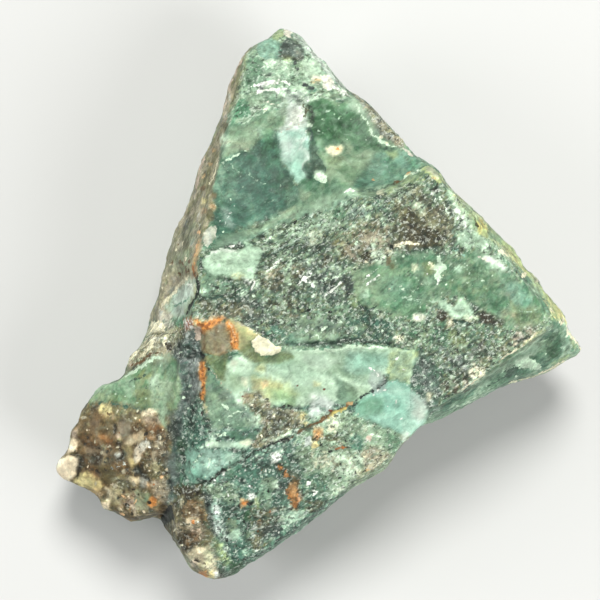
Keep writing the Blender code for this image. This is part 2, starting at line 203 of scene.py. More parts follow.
# The make-up of granular and streaky stone: how much of each colour, dark to light, then
# the size of its crystals in mm, how rough it is and how waxy it is, both 0 to 1
STONE = {
    "side_green": ("jade_dark 10 jade_deep 25 teal 18 jade_mid 22 sage 12 olive 6 mint 7", 1.3, 0.7, 0.25),
    "side_rind": ("olive_dark 9 brown 6 olive 20 khaki 20 taupe 14 beige 20 sage 11", 1.4, 0.5, 0.2),
    "rind": ("olive_dark 6 olive 17 khaki 22 taupe 17 beige 28 pink_beige 6 lilac 4", 1.1, 0.5, 0.2),
    "apex_mottle": ("teal 13 jade_mid 22 sage 17 jade_light 22 mint 17 mint_pale 9", 1.0, 0.75, 0.3),
    "apex_sage": ("jade_deep 8 jade_mid 40 sage 30 jade_light 20 mint 2", 1.5, 0.35, 0.4),
    "deep_green": ("green_dark 24 green 50 green_light 20 sage 6", 1.9, 0.25, 0.55),
    "sage_waxy": ("jade_deep 14 green 6 jade_mid 42 sage 18 jade_light 20", 2.2, 0.2, 0.5),
    "teal_hollow": ("jade_dark 8 jade_deep 28 teal_dark 34 teal 22 jade_mid 8", 1.7, 0.35, 0.4),
    "granular": ("black_green 4 jade_dark 13 slate_dark 3 jade_deep 15 slate 7 olive 4 jade_mid 20 sage 14 jade_light 10 lilac 2 mint 4 mint_pale 4", 0.68, 1.0, 0.1),
    "granular_brown": ("brown_dark 12 olive_dark 22 slate 16 olive 22 taupe 16 jade_mid 8 beige 10", 0.68, 1.0, 0.1),
    "granular_beige": ("olive_dark 6 olive 12 taupe 20 khaki 12 sage 14 beige 26 pink_beige 10", 0.8, 1.0, 0.1),
    "granular_teal": ("black_green 4 jade_dark 12 slate_dark 6 teal_dark 14 slate 9 teal 16 jade_mid 13 teal_mint 11 lilac 4 mint 6 mint_pale 5", 0.68, 1.0, 0.15),
    "crumbly_sage": ("jade_mid 16 sage 34 jade_light 26 mint 14 cream 10", 0.9, 0.8, 0.15),
    "scar_pale": ("jade_mid 8 jade_light 34 mint 46 mint_pale 12", 2.2, 0.2, 0.6),
    "slate_stone": ("slate_dark 13 slate 35 slate_violet 30 teal_dark 7 lilac 15", 1.1, 0.6, 0.3),
    "slate_green": ("jade_dark 22 slate 24 jade_deep 20 jade_mid 16 slate_violet 10 mint 8", 0.9, 0.8, 0.2),
    "lobe_green": ("olive_green 18 green 10 sage 42 jade_light 14 green_light 16", 1.6, 0.35, 0.45),
    "lobe_brown": ("brown_dark 20 olive_dark 10 brown 38 olive 6 tan 8 taupe 10 beige 8", 1.5, 0.6, 0.2),
    "wedge_green": ("jade_deep 18 teal 12 jade_mid 26 jade_light 24 mint 16 mint_pale 4", 1.1, 0.5, 0.45),
    "quartz": ("teal_mint 22 aqua 18 aqua_light 36 lilac_pale 24", 2.0, 0.12, 0.7),
    "teal_right": ("teal 17 emerald 17 jade_mid 20 teal_mint 46", 1.6, 0.3, 0.45),
    "ridge_rind": ("olive_dark 14 slate 18 khaki 14 taupe 24 beige 20 lilac 10", 0.7, 0.9, 0.1),
    "granular_black": ("black_green 20 brown_dark 20 olive_dark 22 olive 16 taupe 12 beige 10", 0.6, 1.0, 0.1),
    "crumbly_pale": ("sage 14 jade_light 20 beige 16 mint 22 cream 16 mint_pale 12", 0.7, 0.8, 0.15),
    "mint_plate": ("jade_mid 12 jade_light 40 mint 36 mint_pale 12", 0.9, 0.45, 0.4),
    "scar_low": ("jade_mid 20 sage 14 jade_light 34 mint 22 yellow_green 10", 1.8, 0.25, 0.55),
    "yellow_jade": ("sage 12 jade_light 40 yellow_green 38 mint_pale 10", 1.4, 0.35, 0.45),
    "olive_smooth": ("jade_deep 24 green 24 sage 30 olive_green 12 jade_light 10", 1.3, 0.45, 0.4),
    "brown_jade": ("brown 12 khaki 34 taupe 34 tan 20", 1.8, 0.25, 0.5),
    "khaki_jade": ("olive 14 khaki 40 yellow_green 26 cream_yellow 20", 1.8, 0.25, 0.5),
    "sage_smooth": ("jade_deep 10 slate_violet 22 jade_mid 38 sage 22 jade_light 8", 1.6, 0.3, 0.5),
    "streaky_green": ("jade_deep 22 green 14 jade_mid 28 sage 18 green_light 12 jade_light 6", 0.9, 0.5, 0.35),
    "aqua_glass": ("teal_mint 32 aqua 56 aqua_light 12", 2.4, 0.1, 0.8),
}

# ------------------------------------------------------------------------ the marks
# One mark a line: its kind (zone, area, line or spot), its stone or colour ("-" for relief
# alone), its options, a colon, and its points in view units. The options are m mix,
# e softness of the edge, r raggedness, w width, h height, t turn in degrees, b and f how
# broken up it is (f1 finely), l lift in mm, g grain, s wax and p taper of a line's ends.
ZONES = """
zone side_rind e8 r4 m.5 : 300,10 620,10 620,300 540,262 500,215 440,155 380,100 330,52
zone rind e3 r2 m.9 : 262,44 252,47 245,56 241,72 238,86 233,102 230,112 228,126 224,136 222,146 221,156 220,166 217,178 214,188 213,198 215,208 214,218 208,226 204,236 203,246 199,256 198,268 197,280 198,290 192,303 186,316 160,322 130,320 130,250 170,200 200,120 230,40
zone apex_mottle e3 r2 : 262,44 290,20 330,50 360,80 352,90 345,88 350,98 330,103 310,103 305,104 290,106 262,111 244,124 232,126 228,126 230,112 233,102 238,86 241,72 245,56 252,47
zone apex_sage e3 r2 : 228,124 244,122 262,111 290,106 305,104 308,127 281,130 262,135 252,146 241,151 223,158 221,150 224,136
zone quartz e1.2 r1.2 : 281,130 278,140 280,155 285,165 290,172 297,184 301,183 306,180 305,176 302,169 304,162 309,160 309,150 311,144 309,137 306,130 308,128 294,127
zone deep_green e2.5 r2 : 308,102 320,99 340,103 350,100 365,112 380,135 384,150 375,152 355,146 342,141 320,140 309,140 311,130 309,118
zone sage_waxy e4 r2 : 309,140 330,138 355,144 375,150 384,150 402,178 388,186 370,190 345,192 320,202 300,208 296,200 299,184 306,180 318,184 326,182
zone teal_hollow e4 r2 : 219,162 230,157 241,151 250,152 262,135 278,132 281,150 285,165 297,186 299,204 290,208 275,213 258,222 245,226 232,232 214,236 213,222 215,208 213,198 214,188 217,178
zone teal_right e4 r2 m.85 : 375,152 405,152 412,172 402,180 372,188 352,190 357,176 372,164
zone sage_waxy e3 r2 : 349,94 362,100 380,112 398,132 408,148 422,162 412,154 398,149 384,147 372,137 362,122 354,108
zone granular e3 r2 : 200,251 216,249 240,241 255,237 270,229 285,222 300,215 315,210 330,209 355,196 385,192 425,172 445,182 490,245 513,270 540,297 551,322 535,337 508,357 480,379 463,392 445,402 420,385 422,350 390,346 348,345 300,349 284,350 262,337 226,320 190,320 197,300 198,270
zone granular_brown e8 r5 : 395,200 410,186 428,190 445,205 452,225 450,245 430,252 405,250 390,245 392,225
zone granular_beige e9 r6 m.7 : 338,232 360,222 380,215 394,222 390,245 385,262 355,266 338,256
zone granular_beige e9 r6 m.3 : 480,345 520,332 545,322 535,338 505,358 470,385 445,395 440,380 460,360
zone apex_sage e3 r2 : 262,226 300,206 340,193 345,201 330,209 300,216 285,222 262,232 240,241 216,248 218,240 240,232
zone apex_sage e3 r2 : 345,191 388,185 402,179 421,169 432,170 425,174 400,188 385,193 355,198
zone crumbly_sage e3 r2.5 : 445,182 462,198 490,226 510,240 522,260 512,268 500,255 478,236 462,214 445,190
zone scar_pale e2 r1.5 : 284,349 300,350 330,350 348,345 375,347 392,348 420,351 412,365 413,382 400,381 385,373 372,391 357,403 342,409 325,418 308,427 290,436 276,436 262,430 250,420 240,408 226,398 220,385 226,366 240,354 262,364
zone granular_teal e3 r2.5 : 226,398 240,408 262,405 300,405 322,395 345,405 357,402 360,418 380,426 402,434 402,447 385,472 351,490 300,530 262,560 240,570 222,550 214,530 206,505 203,484 195,440 200,410
zone crumbly_sage e5 r4 m.9 : 320,412 345,407 362,418 402,432 400,446 385,472 362,482 330,500 300,500 300,470 292,450 300,430
zone granular_beige e8 r5 m.4 : 330,440 390,448 385,472 360,482 330,470
zone granular_teal e4 r3 m.9 : 182,405 204,398 210,420 212,440 222,450 248,458 240,466 217,475 204,486 186,490 178,470
zone aqua_glass e1.5 r1 : 390,380 398,380 408,384 412,389 418,394 424,398 427,403 429,410 429,417 424,424 418,430 412,435 406,441 401,445 402,436 398,432 390,428 380,425 370,421 360,418 354,412 357,403 363,397 372,391 382,384
zone slate_green e3 r2 : 420,350 430,356 440,372 440,395 440,415 431,420 426,404 412,389 409,382 414,366 418,358
zone wedge_green e3 r2 : 553,323 567,320 590,345 560,372 520,390 470,412 430,430 436,412 445,402 463,392 480,379 500,363 517,350 535,337
zone slate_stone e3 r2.5 : 186,322 200,326 204,345 200,358 201,380 198,398 186,410 182,440 177,460 179,490 174,500 160,515 166,480 172,440 176,410 180,392 178,370 170,352
zone granular_beige e5 r4 m.8 : 126,378 118,362 130,345 146,325 170,322 184,324 190,335 172,350 155,358 140,367
zone lobe_green e3 r2.5 : 126,374 140,367 155,358 170,353 180,365 182,392 176,410 170,416 158,412 138,408 122,405 105,401 88,403 88,390 104,380 118,372
zone lobe_brown e4 r3 : 88,403 105,401 122,405 138,408 158,412 172,418 172,450 166,490 164,520 120,530 60,500 40,470 55,430 72,410
zone lobe_brown e4 r3 m.8 : 184,488 203,486 206,505 210,520 213,532 210,545 195,555 178,555 160,530 168,505
zone lobe_brown e4 r3 m.5 : 184,545 205,545 222,556 226,575 212,590 190,580 176,560
"""

# the apex: the worn left strip, the mottled tip, the quartz, the green and teal hollows
# painted highlight: the white streak further down the rim
# painted highlights: the pale line along the tip's right rim and the white line on it
# painted shade on the step face right of the quartz, over a sunk groove
APEX_MARKS = """
# tip
area yellow_green m.6 : 271,30 276,28 283,30 283,37 276,40 271,36
area pink_white r.8 : 284,28 291,29 292,37 285,37
area teal_mint m.8 : 258,40 270,38 280,42 282,52 277,58 262,60 256,50
area teal m.7 : 277,44 284,45 285,55 278,56
area mint_pale m.9 : 265,58 280,60 290,62 290,76 276,78 264,74 262,66
area jade_mid m.8 e4 g.9 : 246,56 262,56 266,66 264,80 254,88 244,82
area lilac_pale m.45 e4 g.3 : 280,96 296,92 306,100 307,114 292,120 278,114
area slate m.85 e1.9 g.7 l-.15 r2.2 : 283,40 289,37 295,42 302,44 306,51 306,58 301,61 290,60 279,58 276,54 279,48
area taupe m.3 e3 r2 g.4 : 297,45 303,44 305,52 300,57 295,53
area black_green m.5 e2 b.3 f1 : 280,44 284,39 289,42 290,50 286,58 280,57
line olive_dark w3 m.5 e2 : 278,52 284,57 296,60 304,56
line lilac_pale w6 e2 m.75 : 293,35 305,44 316,57 325,67 335,79 345,89
line white w1.6 m.5 b.5 : 296,38 308,49 318,61 328,72 338,83
area mint_pale m.75 b.2 : 301,60 312,58 322,66 322,80 312,80 304,74
area yellow_green m.45 e2 : 283,58 290,57 294,63 290,69 284,67
spot slate_dark w4 h5 m.85 : 297,69 295,64
spot slate_dark w5 h6 m.8 t20 : 305,85 312,88
area pink_white m.9 l.1 : 321,76 328,74 334,82 330,90 323,88
line white w6 m.9 b.35 : 325,84 336,88 350,97
area peach m.55 e2.2 : 311,77 318,74 323,78 319,84 312,83
line pink_white w1.6 m.7 : 311,80 317,77 324,77
line white w3.4 b.06 e1.7 m.95 : 250,87 260,83 272,82 282,79 289,84
line white w3 b.08 m.9 e1.7 : 254,93 266,90 280,91 290,87
area jade_light m.7 e4 : 266,68 290,66 292,80 270,82
spot slate_dark w3 h2.6 m.8 : 288,91 310,89 281,100
spot slate_dark w4 h4 m.8 : 276,95 262,88 268,74
area jade_light m.6 e3 g.4 : 246,92 262,91 262,104 250,108 244,100
area mint_pale m.8 e3 : 292,84 306,86 308,96 298,98
area jade_mid m.8 e3 g.5 : 262,93 276,93 282,98 276,106 262,104
spot cream w4 h3 m.6 : 266,109
line pink_white w1.6 m.7 b.3 : 256,104 266,102 276,105 284,103
# deep green edge of the strip, and the olive triangle under a pale crack
area emerald m.8 e2 : 238,99 246,100 250,108 250,116 243,119 236,117 233,124 230,127 231,117 235,107
area jade_deep m.6 e2 : 239,103 246,103 247,113 240,115
line mint_pale w1.6 l.05 m.6 : 240,124 250,120 258,115 264,111
area olive_smooth m.6 e3 : 250,120 266,113 280,116 282,124 272,128 256,126
area lilac_pale m.85 e2.4 l.08 : 290,102 305,104 307,118 308,127 298,129 286,132 277,134 283,124 287,114
area pink_white m.35 e2 : 292,108 303,107 305,118 296,124 288,126
line olive_dark w2 m.7 : 304,104 306,112 307,120
area mint_pale m.85 e2.4 l.1 : 220,136 226,133 230,138 229,146 222,147
line beige w3 m.55 e2 : 222,143 232,141 242,144 250,142
line taupe w2.4 m.5 e2 : 226,149 236,147 246,149 252,147
line mint_pale w2 m.85 l.1 e1.5 : 222,163 228,160 233,157 241,153 248,150
line teal_dark w3 m.5 e2 l-.1 : 222,166 230,161 240,155 250,152
area sage m.6 e4 g.2 : 230,128 246,124 258,128 254,138 240,142 230,140
line jade_mid w3 m.5 b.45 : 232,128 244,133 258,135
area jade_mid m.5 e3 b.3 g.7 : 247,52 258,50 264,60 262,78 256,90 248,98 242,96 244,74
area mint m.6 e3 b.2 : 262,62 276,60 290,66 292,78 276,80 262,78
area green m.35 e3 b.45 g.8 : 248,58 256,56 258,72 252,88 246,86
line white w1.6 m.75 b.25 : 254,89 262,85 270,84 280,83 287,84
line white w1.6 m.65 b.3 : 256,94 266,90 278,89 288,90
line mint_pale w3 m.7 b.15 e1.9 : 258,99 270,96 282,94
line pink_beige w1.4 m.55 b.2 : 278,134 286,130 296,125 304,122
area slate_dark m.75 e1.9 l-.12 : 286,88 290,88 291,93 287,95
area slate_dark m.8 e2 l-.15 : 292,95 296,94 301,101 301,104 296,101
area olive_green m.5 e4 : 320,152 330,156 344,158 342,168 328,168
area jade_mid m.3 e6 : 228,124 262,111 282,108 280,130 262,135 241,151 224,156
area green_dark m.35 e3 b.35 g.7 : 246,60 262,58 264,72 254,88 244,84
line mint_pale w2 m.6 b.2 e1.9 : 264,104 272,112 280,116
area lilac_pale m.5 e2.4 b.1 : 284,92 300,90 310,98 308,106 292,106 284,102
# quartz
area lilac_pale m.5 e3.5 g.05 s.7 : 279,135 288,132 290,146 288,158 281,156 278,146
area lilac_pale m.4 e4 g.05 s.75 : 290,131 306,130 309,140 308,150 306,160 292,158 289,146
area teal_mint m.16 e4 : 279,132 306,130 309,160 305,183 297,184 281,158
area aqua_light m.75 e4 s.8 g.05 : 281,155 300,157 304,168 306,178 298,183 290,170 284,164
line white w1.6 m.55 l.12 : 306,129 309,136 311,144 309,151 309,160 304,162 302,168 306,176 306,181
line lilac w2.4 m.5 e2 : 289,134 290,146 291,160
line white w2 m.5 e2 : 296,140 304,141
area aqua m.6 e3 : 288,160 300,163 303,172 300,180 292,172
spot mint_pale w1.8 h1.8 m.7 : 316,126 334,114 342,130 352,118 326,132 360,128 338,106 322,120 348,140 366,140
spot green_dark w3 h2.4 m.6 : 318,112 346,112 332,124 356,132 366,120
# deep green field
area green_dark m.45 e4 s.6 : 310,124 322,126 344,126 350,134 344,140 322,139 311,136
area green m.6 e4 : 345,116 362,122 370,136 372,146 356,144 346,136
line green_light w3 m.5 b.4 : 315,110 320,116 325,122
line green_light w2.5 m.5 b.4 : 330,108 338,116 348,122
spot mint w3 h3 m.8 : 328,111 338,120 320,132
line black_green w3.5 m.6 e1.6 l-.12 : 306,104 311,108 313,116 311,124 309,130
line jade_dark w4 m.8 e1.6 l-.12 : 309,128 313,134 312,142 314,152 318,160 325,168 326,172
area jade_dark m.75 l-.1 : 309,141 316,140 317,147 316,155 320,160 325,168 326,171 320,172 316,170 313,176 311,180 306,180 305,176 302,169 304,162 309,160 308,150
spot mint_pale w5 h5 l.15 e1 : 309,126
area mint m.6 e2.5 : 345,97 354,99 362,108 358,113 348,109
area cream r1.4 l.14 e1.9 m.9 : 325,147 332,145 340,144 344,148 340,154 333,157 327,152
area peach m.8 e2 : 334,146 341,146 342,151 335,152
spot black_green w2.6 h2 m.8 : 330,154 347,149
spot orange w3 h4 m.85 : 338,148.5
area mint_pale r1 l.12 e1 : 314,172 316,170 322,171 327,176 326,182 322,183 318,180 314,177
spot white w5 h3 t-20 : 320,175
area jade_deep m.85 e2.4 s.6 g.15 : 300,181 308,178 316,179 320,184 316,192 306,192 300,188
area sage m.5 e4 : 330,158 352,152 370,158 368,172 352,186 334,184
line jade_light w4 m.5 e2.5 : 332,166 348,160 364,162
line jade_light w4 m.4 e2.5 : 338,178 350,172 360,170
area jade_mid m.5 e4 : 318,188 334,184 340,192 322,200
# teal hollow
area teal_dark m.6 e5 : 240,158 252,154 262,158 260,170 246,172 238,166
area teal_dark m.65 e5 : 236,178 250,176 262,182 258,196 242,198 234,190
area teal_dark m.6 e5 l-.1 : 226,202 240,198 248,208 246,224 234,232 224,222
area green m.5 e4 : 262,130 273,128 275,146 266,152
area teal_dark m.5 e5 : 254,190 270,184 286,194 288,208 270,216 254,210
area teal_mint m.15 e4 : 266,150 278,150 284,164 282,176 268,172
area jade_mid m.35 e4 : 222,164 236,162 240,174 230,186 220,182
area sage m.4 e4 : 286,184 298,188 300,202 290,206 282,196
line mint w2.5 m.6 b.4 : 222,162 228,172 236,183
line mint w2 m.6 b.4 : 228,160 234,168 242,178
line mint w2.5 m.6 b.35 : 246,172 256,180 270,186
line mint_pale w1.2 m.4 b.3 : 258,160 266,166 272,176
line teal_dark w3 m.6 b.4 e2 : 262,172 274,180 284,190
line mint w1.2 m.4 b.3 : 250,200 262,204 276,200
line jade_dark w2.5 m.6 b.4 : 270,190 280,196 292,196
line white w1.4 m.7 b.2 : 234,204 236,207 240,210
line lilac_pale w1.5 m.7 b.2 : 231,211 228,217 226,224 227,231
spot mint_pale w2 h2.6 m.6 : 231,199 223,231 216,205
spot white w2 h2 m.7 : 238,235 221,221
spot mint w2.2 h2.2 m.6 f1 : 243,186 281,186
# the foot of the ledge, and its lit riser
line sage w5 m.4 e3 : 236,237 250,231 264,226 282,217 300,211 318,205 336,199 350,194
line mint w1.4 b.5 m.5 : 240,240 256,236 272,229 288,222
line jade_light w6 m.3 e4 : 238,234 252,229 266,223 282,214 300,207 318,202 336,196 350,191
area jade_light m.45 e3 g.2 : 242,233 262,226 300,207 340,191 356,187 356,196 330,206 300,214 270,226 246,238
# grey-green smooth facet and cream chip at the ledge's left end
area lilac_pale m.5 e3 b.15 g.4 : 221,206 228,208 233,219 235,229 228,228 224,218
area jade_mid m.8 e2.4 s.6 g.1 l-.08 : 212,248 216,240 224,233 236,232 248,231 244,237 232,243 218,250
area slate m.4 e3 : 216,246 226,238 240,234 236,240 222,248
line teal_dark w1.6 m.5 e1.9 : 214,249 222,250 232,247 238,243
area pink_white m.7 l.14 e1.6 r1 g.12 s.4 : 205,228 211,226 217,226.5 217,233 213,240 208,247 203,242
area pink_beige m.4 e2.4 : 204,236 212,234 210,245 205,244
line lilac w1.6 m.7 : 209,231 211,238 208,244
# the worn strip down the left side
line pink_beige w3.5 m.8 e1.2 : 247,48 239,62 230,83 225,100 219,120 213,134
line olive w6 m.55 e2.5 b.3 : 246,56 241,74 236,94 230,112
line olive_dark w3 m.6 b.4 : 238,84 234,98 230,106
spot olive_dark w6 h9 m.8 e2 : 224.5,126.5
line pink_beige w3 m.8 e1.2 : 208,146 202,160 197,178 195,190
spot tan w4 h3.5 m.6 : 214,150 204,176 210,164
line olive w5 m.5 b.3 e2.5 : 216,150 211,170 206,190
line cream w3 m.7 b.4 : 218,160 213,178 208,188
spot brown w5 h7 m.7 e2 : 203,188 214,196
area cream_yellow m.7 e2 l.1 : 200,198 205,197 206,203 202,206
area peach m.7 e2 b.1 : 209,204 215,203 217,208 212,211
area tan m.7 r1 b.2 : 199,208 206,207 207,213 200,215
spot tan w3 h3 m.8 : 214,206
area olive_dark m.75 : 207,209 214,208 216,218 210,222 206,216
line lilac_pale w1.4 m.6 b.2 : 196,210 201,218 199,226
line tan w4 e2 m.8 l.06 : 201,238 197,248 195,258 195,268 197,278
line orange w1.6 e1.4 m.5 b.42 : 200,240 196,250 194,260 195,270
spot peach w4 h5 m.9 l.08 : 199,232 196,246
line slate_dark w4 m.6 b.4 e2 : 190,214 184,232 180,250
line cream w2 m.7 b.4 : 186,206 180,222 174,238 169,252
line olive_dark w4 m.6 b.4 e2 : 196,200 192,216 189,234 186,252
area sage m.55 e3 b.35 : 188,226 196,222 196,240 190,262 180,272 178,256
area beige m.6 e3 b.35 : 176,240 184,236 182,254 172,272 166,262
spot brown w4 h5 m.7 : 184,266 188,272 179,262
# ridge on the right
line mint_pale w2.2 m.9 l.12 : 349,95 357,106 361,113 365,120 370,128 374,135 380,140 388,145 398,147 408,150
line jade_dark w3 m.5 b.4 e2 : 372,108 384,122 394,134
line beige w2.5 m.6 b.35 : 352,92 366,101 378,112 388,124
spot white w2 h2.6 m.75 : 379,126 390,133 372,110
area ridge_rind m.92 e2.4 : 350,91 364,98 377,108 388,121 399,134 405,141 406,147 399,147 390,141 380,133 372,122 364,108 356,98
spot cream w3 h3 m.7 : 387,143 382,136
area slate_dark m.45 e3 b.4 : 368,110 380,112 386,122 378,124
area jade_dark m.5 e3 b.4 : 364,100 370,100 374,108 366,109
# sage and teal under it
line teal w3 m.5 b.35 e2 : 376,154 386,164 392,178
line teal_dark w3 m.45 b.35 e2 : 388,154 396,166 402,176
line lilac w2 m.5 b.35 : 380,158 388,170 396,180
area teal_dark m.4 e4 : 355,176 366,168 376,174 378,186 362,190 354,188
line teal_dark w3 m.4 e2.5 : 374,186 386,182 398,180 405,176
area teal_mint m.6 e2.6 s.7 g.15 l.1 : 384,150 400,149 412,154 420,160 421,168 412,171 404,169 396,163 390,156
area yellow_green m.7 e2.5 : 385,151 396,150 399,156 392,159 387,155
area emerald m.6 e2.5 : 408,159 418,160 420,168 411,169
line pink_white w2.4 m.9 : 403,148 408,151 413,156
line brown w2 m.85 l-.1 : 392,184 397,182 403,180
spot orange w4 h4 m.8 : 409,174
spot tan w5 h4 m.8 : 373,179
line mint_pale w2 m.85 : 402,180 408,175 414,173 422,170
line jade_dark w2 m.6 l-.15 e1.4 : 355,192 370,189 380,190 388,185 395,182
area mint m.6 l.12 e2 : 342,193 352,188 357,190 358,194 354,199 345,197
line white w2 m.7 : 344,193 351,190 356,192
area cream m.75 e1.5 b.3 : 376,190 384,188 386,195 377,197
area mint_pale m.75 e1.5 b.3 : 398,190 406,189 406,198 398,199
area yellow_green m.5 e3 b.3 : 385,188 402,182 424,173 425,180 404,190 388,196
area yellow_green m.85 e1.5 l.15 : 421,170 426,166 432,167 440,173 445,182 441,184 434,179 428,174
area cream m.7 e1.5 : 424,168 431,167 437,172 440,178 433,175
spot tan w4 h3 m.8 : 434,178
area lilac m.22 e5 g.7 : 352,100 372,110 398,140 380,138 365,118
area aqua_light m.18 e5 : 358,185 372,156 395,160 402,175 382,186
area jade_deep m.12 e6 g.7 : 250,58 302,60 304,102 248,102
"""
